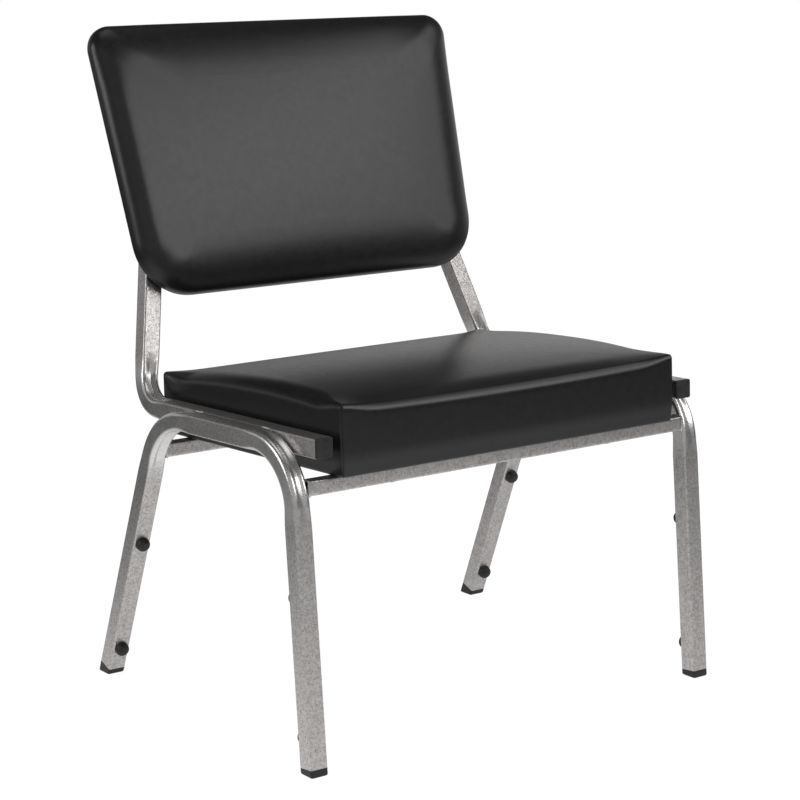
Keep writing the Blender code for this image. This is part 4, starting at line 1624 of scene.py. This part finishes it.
@dataclass(frozen=True)
class Upholstery:
    """Seat and back: cushions, boards, linings, staples and the screws that hold them to the frame."""

    layout: Layout
    seat_side_gap: float = 9.0 * MM
    seat_rear_gap: float = 9.5 * MM
    back_side_reach: float = 18.7 * MM
    back_over: float = 2.0 * MM
    back_under: float = 1.8 * MM
    back_flare: float = 43.0 * MM
    lining_inset: float = 8.0 * MM
    back_lining: float = 3.0 * MM
    seat_bolt_inset: float = 130.0 * MM
    back_bolt_low: float = 93.0 * MM
    back_bolt_high: float = 50.0 * MM
    nut_end_seat: float = 13.6 * MM
    nut_end_back: float = 13.3 * MM
    cloth_sag: float = 2.6 * MM
    cloth_level: float = 0.7 * MM
    cloth_lift: float = 34.0 * MM
    cloth_thickness: float = 0.5 * MM
    panel_edge: float = 1.4 * MM
    staple: Staple = field(default_factory=Staple)
    screw: Screw = field(default_factory=Screw)

    def build(self, wardrobe: Wardrobe) -> None:
        """Builds and dresses both pads."""
        self.seat(wardrobe)
        self.back(wardrobe)
        for part in ("seat", "back"):
            paint_node(part + "_board", wardrobe.plywood)
        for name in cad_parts:
            if "_tnut_" in name:
                paint_node(name, wardrobe.zinc)

    def seat_shape(self) -> PadShape:
        """The seat: a deep box with crisp corners and a crowned top."""
        layout = self.layout
        width = 2 * (layout.rail_outer - layout.tube - self.seat_side_gap)
        length = layout.rail_length + layout.seat_overhang - self.seat_rear_gap
        return PadShape(width_low=width, width_high=width, length=length, edge_low=90.2 * MM,
                        edge_high=82.0 * MM, side_crown=13.0 * MM, crown=16.5 * MM, crown_power=2.2,
                        corner_low=5.0 * MM, corner_high=4.0 * MM,
                        rolls_in=(7.5 * MM, 28.0 * MM, 18.0 * MM, 28.0 * MM),
                        rolls_down=(11.5 * MM, 15.0 * MM, 12.0 * MM, 15.0 * MM),
                        corners_in=(5.5 * MM, 5.0 * MM), corners_down=(7.0 * MM, 5.0 * MM),
                        roll_reach=60.0 * MM, roll_powers=(1.4, ROUND, ROUND, ROUND),
                        side_powers=(ROUND,) * 4, seam=1.3 * MM, ear=2.5 * MM, front_sag=5.5 * MM,
                        draw=3.0 * MM, full_rise=22.0 * MM, base=1.1 * MM)

    def back_shape(self) -> PadShape:
        """The back: wider at the top, with large lower corners and a softly rounded face."""
        layout = self.layout
        low = 2 * (float(layout.upright_at(layout.back_rise)[0]) + self.back_side_reach)
        return PadShape(width_low=low, width_high=low + self.back_flare,
                        length=layout.back_height + self.back_over + self.back_under,
                        edge_low=37.0 * MM, edge_high=37.0 * MM, side_crown=0.5 * MM, crown=5.0 * MM,
                        crown_power=2.0, corner_low=78.0 * MM, corner_high=33.0 * MM,
                        rolls_in=(76.0 * MM, 50.0 * MM, 80.0 * MM, 33.0 * MM),
                        rolls_down=(20.0 * MM, 28.0 * MM, 20.0 * MM, 28.0 * MM),
                        corners_in=(44.0 * MM,) * 2, corners_down=(22.0 * MM,) * 2, roll_reach=90.0 * MM,
                        roll_powers=(2.3,) * 4, side_powers=(2.3,) * 4,
                        ear=0.0, draw=1.5 * MM, full_rise=3.0 * MM, base=3.3 * MM,
                        corner_least=26.0 * MM, core_inset=84.0 * MM,
                        corner_steps=8, along_steps=48, roll_steps=14, side_steps=5)

    def seat(self, wardrobe: Wardrobe) -> None:
        """Seat cushion, dust cloth, staples and screws."""
        shape, place = self.seat_shape(), self.layout.seat_place()
        cushion = shape.cushion(place).piece("seat_cushion")
        Stuffing().settle(cushion, place)
        smooth_once(cushion)
        dress(cushion, wardrobe.vinyl, Slot.VINYL, "seat_cover", "seat_foam")
        self.dust_cloth(shape, place, wardrobe)
        self.staples(shape, place, wardrobe)
        depth = self.layout.bar + 2 * self.layout.fit_gap
        for end in End:
            for side in Side:
                across = side.value * (self.layout.rail_outer - self.seat_bolt_inset)
                spot = np.array([across, self.layout.bar_along(end), -depth])
                name = f"seat_bolt_{end.value}_{side.label}"
                self.fix(name, place, spot, depth + self.nut_end_seat, wardrobe)

    def back(self, wardrobe: Wardrobe) -> None:
        """Back cushion, rear panel and screws."""
        layout = self.layout
        shape, place = self.back_shape(), layout.back_place()
        lower = replace(place, origin=place.world(np.array([0.0, -self.back_under, 0.0])))
        cushion = shape.cushion(lower).piece("back_cushion")
        Stuffing(held_height=9.0 * MM, cap=0.6 * MM).settle(cushion, lower)
        smooth_once(cushion)
        dress(cushion, wardrobe.vinyl, Slot.VINYL, "back_cover", "back_foam")
        slab = shape.slab(lower, self.lining_inset, 0.0, self.back_lining, self.panel_edge)
        panel = slab.piece("rear_panel")
        dress(panel, wardrobe.vinyl, Slot.VINYL, "back_rear_panel")
        depth = layout.tube + 2 * layout.fit_gap
        high = layout.upright_run - layout.back_rise - self.back_bolt_high
        for side in Side:
            for level, rise in (("low", self.back_bolt_low), ("high", high)):
                across = side.value * float(layout.upright_at(layout.back_rise + rise)[0])
                spot = np.array([across, rise, -depth])
                name = f"back_bolt_{side.label}_{level}"
                self.fix(name, place, spot, depth + self.nut_end_back, wardrobe)

    def fix(self, node: str, place: Place, spot: Array, length: float, wardrobe: Wardrobe) -> None:
        """One screw, its head against the tube and its shank in the board."""
        item = Shell.of(place.world(self.screw.grid(length) + spot)).piece(node.replace("bolt", "screw"))
        dress(item, wardrobe.zinc, Slot.ZINC, node)

    def dust_cloth(self, shape: PadShape, place: Place, wardrobe: Wardrobe) -> None:
        """Cloth under the seat, stretched between its staples, the cross tubes and the board.

        It sags by sag * (1 - x^2) * (1 - y^2), times 1 - exp(-(distance / lift)^2) from each cross tube.
        """
        spots = shape.patch(shape.edges(self.lining_inset))
        half = shape.width_low / 2 - self.lining_inset
        across = 1.0 - (spots[..., 0] / half) ** 2
        along = 1.0 - (2.0 * spots[..., 1] / shape.length - 1.0) ** 2
        sag = self.cloth_sag * across.clip(0.0) * along.clip(0.0)
        for end in End:
            gap = (spots[..., 1] - self.layout.bar_along(end)) / self.cloth_lift
            sag = sag * (1.0 - np.exp(-gap**2))
        cloth = Shell.of(place.world(np.dstack([spots, self.cloth_level - sag])), ring=False)
        item = cloth.piece("dust_cloth")
        thick = item.modifiers.new("thickness", "SOLIDIFY")
        thick.thickness = self.cloth_thickness
        thick.offset = 0.0
        dress(item, wardrobe.cloth, Slot.DUST_CLOTH, "seat_dust_cover")

    def staples(self, shape: PadShape, place: Place, wardrobe: Wardrobe) -> None:
        """Staples along the cloth's edge, clear of the cross tubes."""
        staple = self.staple
        line = shape.outline(self.lining_inset + staple.inset)
        closed = np.concatenate([line, line[:1]])
        way = travelled(closed)
        marks = np.arange(0.5, int(way[-1] / staple.pitch)) * staple.pitch
        spots, ahead = (np.column_stack([np.interp(where, way, closed[:, axis]) for axis in (0, 1)])
                        for where in (marks, marks + MM))
        bars = np.array([self.layout.bar_along(end) for end in End])
        gaps = np.min(np.abs(spots[:, 1:] - bars), axis=1) - self.layout.bar / 2
        clear = gaps > staple.clearance
        shell = Shell()
        for spot, heading in zip(spots[clear], unit(ahead - spots)[clear]):
            shell.add(place.world(staple.grid(spot, heading)), ring=True)
        dress(shell.piece("dust_cloth_staples"), wardrobe.zinc, Slot.ZINC)


@dataclass(frozen=True)
class SoftBox:
    """Rectangular studio lamp aimed at the chair. Azimuth 0 is in front and 90 to the right."""

    name: str
    azimuth: float
    elevation: float
    distance: float
    width: float
    height: float
    radiance: float
    aim: Triple = (0.0, 0.0, 0.5)

    def place(self) -> None:
        """Makes the lamp; its power is radiance * pi * area."""
        lamp = bpy.data.lights.new(self.name, "AREA")
        lamp.shape = "RECTANGLE"
        lamp.size = self.width
        lamp.size_y = self.height
        lamp.energy = self.radiance * math.pi * self.width * self.height
        item = bpy.data.objects.new(self.name, lamp)
        turn, lift = math.radians(self.azimuth), math.radians(self.elevation)
        flat = math.cos(lift)
        away = Vector((math.sin(turn) * flat, -math.cos(turn) * flat, math.sin(lift)))
        item.location = Vector(self.aim) + away * self.distance
        item.rotation_euler = away.to_track_quat("Z", "Y").to_euler()
        item.visible_camera = False
        bpy.context.scene.collection.objects.link(item)


@dataclass(frozen=True)
class ScreenPatch:
    """Stretch of the screen with a tone of its own, in degrees, even over the core of its half width."""

    azimuth: float
    half_width: float
    tone: float
    core: float = 0.4


@dataclass(frozen=True)
class Studio:
    """Camera, pale floor, white surroundings and soft lamps."""

    camera_place: Triple = (-1.8791, -2.5648, 1.0562)
    yaw: float = math.radians(36.576)
    pitch: float = math.radians(11.938)
    roll: float = math.radians(-0.043)
    focal: float = 2358.24
    image_width: float = 800.0
    sensor: float = 36.0
    floor_size: float = 14.0
    floor_glow: float = 0.96
    floor_colour: float = 0.10
    floor_bounce: float = 0.8
    floor_points: int = 9
    ambient: float = 0.45
    overhead: float = 0.10
    horizon: tuple[float, float] = (0.10, 0.36)
    # Painted pool of light round the chair and painted shade to the back left, in the floor's glow seen in
    # reflections.
    pool_centre: Triple = (-0.4, -0.9, 0.0)
    pool_near: float = 0.6
    pool_far: float = 3.0
    pool_dim: float = 0.12
    shade_way: Triple = (-0.6, 0.8, 0.0)
    shade_near: float = 0.5
    shade_far: float = 1.5
    shade_dim: float = 0.1
    screen_radius: float = 3.6
    screen_height: float = 1.7
    screen_tone: float = 0.42
    screen_foot: float = 0.3
    screen_rise: tuple[float, float] = (0.1, 0.7)
    screen_columns: int = 97
    screen_rows: int = 18
    patches: tuple[ScreenPatch, ...] = (
        ScreenPatch(42.0, 40.0, 0.12),
        ScreenPatch(116.0, 42.0, 0.8),
        ScreenPatch(-135.0, 55.0, 0.45),
    )
    lamps: tuple[SoftBox, ...] = (
        SoftBox("key", 30.0, 28.0, 2.8, 2.1, 1.05, 3.45),
        SoftBox("right_high", 64.0, 39.0, 2.8, 1.1, 0.7, 1.9),
        SoftBox("left_rim", -104.0, 18.0, 2.6, 1.05, 1.2, 3.8),
        SoftBox("left_fill", -32.0, 30.0, 2.8, 2.6, 1.4, 0.36),
        SoftBox("overhead", 0.0, 88.0, 2.6, 1.5, 1.5, 1.0),
    )

    def build(self) -> None:
        """Sets up everything that isn't the chair."""
        scene = bpy.context.scene
        scene.view_settings.view_transform = "Standard"
        self.camera()
        self.floor()
        self.surroundings()
        self.screen()
        for lamp in self.lamps:
            lamp.place()

    def camera(self) -> None:
        """Camera at the photograph's place: it looks along yaw and pitch, turned a little by roll."""
        flat = math.cos(self.pitch)
        ahead = Vector((math.sin(self.yaw) * flat, math.cos(self.yaw) * flat, -math.sin(self.pitch)))
        level = Vector((math.cos(self.yaw), -math.sin(self.yaw), 0.0))
        up = level.cross(ahead)
        right = level * math.cos(self.roll) + up * math.sin(self.roll)
        above = up * math.cos(self.roll) - level * math.sin(self.roll)
        data = bpy.data.cameras.new("camera")
        data.sensor_width = self.sensor
        data.lens = self.focal / self.image_width * self.sensor
        item = bpy.data.objects.new("camera", data)
        turn = Matrix((right, above, -ahead)).transposed().to_4x4()
        item.matrix_world = Matrix.Translation(self.camera_place) @ turn
        bpy.context.scene.collection.objects.link(item)
        bpy.context.scene.camera = item

    @staticmethod
    def seen(desk: NodeDesk) -> Socket:
        """One for rays that show the background: camera, mirror and see-through rays."""
        path = desk.node("LightPath")
        mirror = desk.sum("MAXIMUM", path.outputs["Is Glossy Ray"], path.outputs["Is Transmission Ray"])
        return desk.sum("MAXIMUM", path.outputs["Is Camera Ray"], mirror)

    def floor(self) -> None:
        """Pale floor that shows white and still takes its shadow; in reflections it glows with a painted
        pool of light round the chair and painted shade to the back left.
        """
        half = self.floor_size / 2
        side = np.linspace(-half, half, self.floor_points)
        across, along = np.meshgrid(side, side)
        item = Shell.of(np.dstack([across, along, np.zeros_like(across)]), ring=False).piece("floor")
        material = bpy.data.materials.new("Pale floor")
        desk = empty_desk(material)
        matt = desk.node("BsdfDiffuse", {"Color": (self.floor_colour,) * 3}).outputs[0]
        spot = desk.node("TexCoord").outputs["Object"]
        # Painted light: the glow seen in reflections is a pool round the chair, dimmed by painted shade
        # towards the back left.
        away = desk.vector("DISTANCE", spot, self.pool_centre)
        pool = desk.spread(away.outputs["Value"], self.pool_near, self.pool_far, 1.0, self.pool_dim)
        behind = desk.vector("DOT_PRODUCT", spot, self.shade_way)
        shade = desk.spread(behind.outputs["Value"], self.shade_near, self.shade_far, 1.0, self.shade_dim)
        pool = desk.sum("MULTIPLY", pool, shade)
        lit = desk.sum("MAXIMUM", pool, desk.node("LightPath").outputs["Is Camera Ray"])
        strength = desk.sum("MULTIPLY", lit, self.floor_glow)
        glow = desk.node("Emission", {"Color": WHITE, "Strength": strength}).outputs[0]
        shown = desk.node("AddShader", {0: matt, 1: glow}).outputs[0]
        plain = desk.node("BsdfDiffuse", {"Color": (self.floor_bounce,) * 3}).outputs[0]
        mixed = desk.node("MixShader", {0: self.seen(desk), 1: plain, 2: shown}).outputs[0]
        desk.node("OutputMaterial", {"Surface": mixed})
        item.data.materials.append(material)

    def screen(self) -> None:
        """Grey screen all round, seen only in reflections, with lighter and darker stretches.

        Its points lie at radius * (sin a, -cos a), where a is the azimuth from the front to the right.
        """
        turn, height = np.meshgrid(np.linspace(-math.pi, math.pi, self.screen_columns),
                                   np.linspace(0.0, self.screen_height, self.screen_rows))
        grid = np.dstack([self.screen_radius * np.sin(turn), -self.screen_radius * np.cos(turn), height])
        tones = np.full(turn.shape, self.screen_tone)
        for patch in self.patches:
            away = np.abs(np.degrees(turn) - patch.azimuth) / patch.half_width
            tones += (patch.tone - tones) * (1.0 - smooth_step(patch.core, 1.0, away))
        tones *= self.screen_foot + (1.0 - self.screen_foot) * smooth_step(*self.screen_rise, height)
        item = Shell.of(grid, ring=False, marks=tones).piece("screen", "tone")
        material = bpy.data.materials.new("Grey screen")
        desk = empty_desk(material)
        tone = desk.node("Attribute", attribute_name="tone").outputs["Fac"]
        glow = desk.node("Emission", {"Color": WHITE, "Strength": tone}).outputs[0]
        desk.node("OutputMaterial", {"Surface": glow})
        item.data.materials.append(material)
        item.visible_camera = False
        item.visible_diffuse = False
        item.visible_shadow = False
        item.visible_transmission = False

    def surroundings(self) -> None:
        """White surroundings up to a little above the horizon, dark overhead, even light for the rest."""
        world = bpy.data.worlds.new("studio")
        bpy.context.scene.world = world
        desk = empty_desk(world)
        way = desk.node("TexCoord").outputs["Generated"]
        height = desk.node("SeparateXYZ", {0: way}).outputs["Z"]
        shade = desk.spread(height, *self.horizon, 1.0, self.overhead)
        wall = desk.node("Background", {"Color": WHITE, "Strength": shade}).outputs[0]
        fill = desk.node("Background", {"Color": WHITE, "Strength": self.ambient}).outputs[0]
        mixed = desk.node("MixShader", {0: self.seen(desk), 1: fill, 2: wall}).outputs[0]
        desk.node("OutputWorld", {"Surface": mixed})


def main() -> None:
    """Builds the studio and the chair, sub-assembly by sub-assembly."""
    logging.basicConfig(level=logging.INFO, format="%(name)s: %(message)s")
    layout = read_layout()
    Studio().build()
    wardrobe = make_wardrobe()
    TubeFrame(layout).build(wardrobe)
    Fittings(layout).build(wardrobe)
    Upholstery(layout).build(wardrobe)


if __name__ == "__main__":
    main()
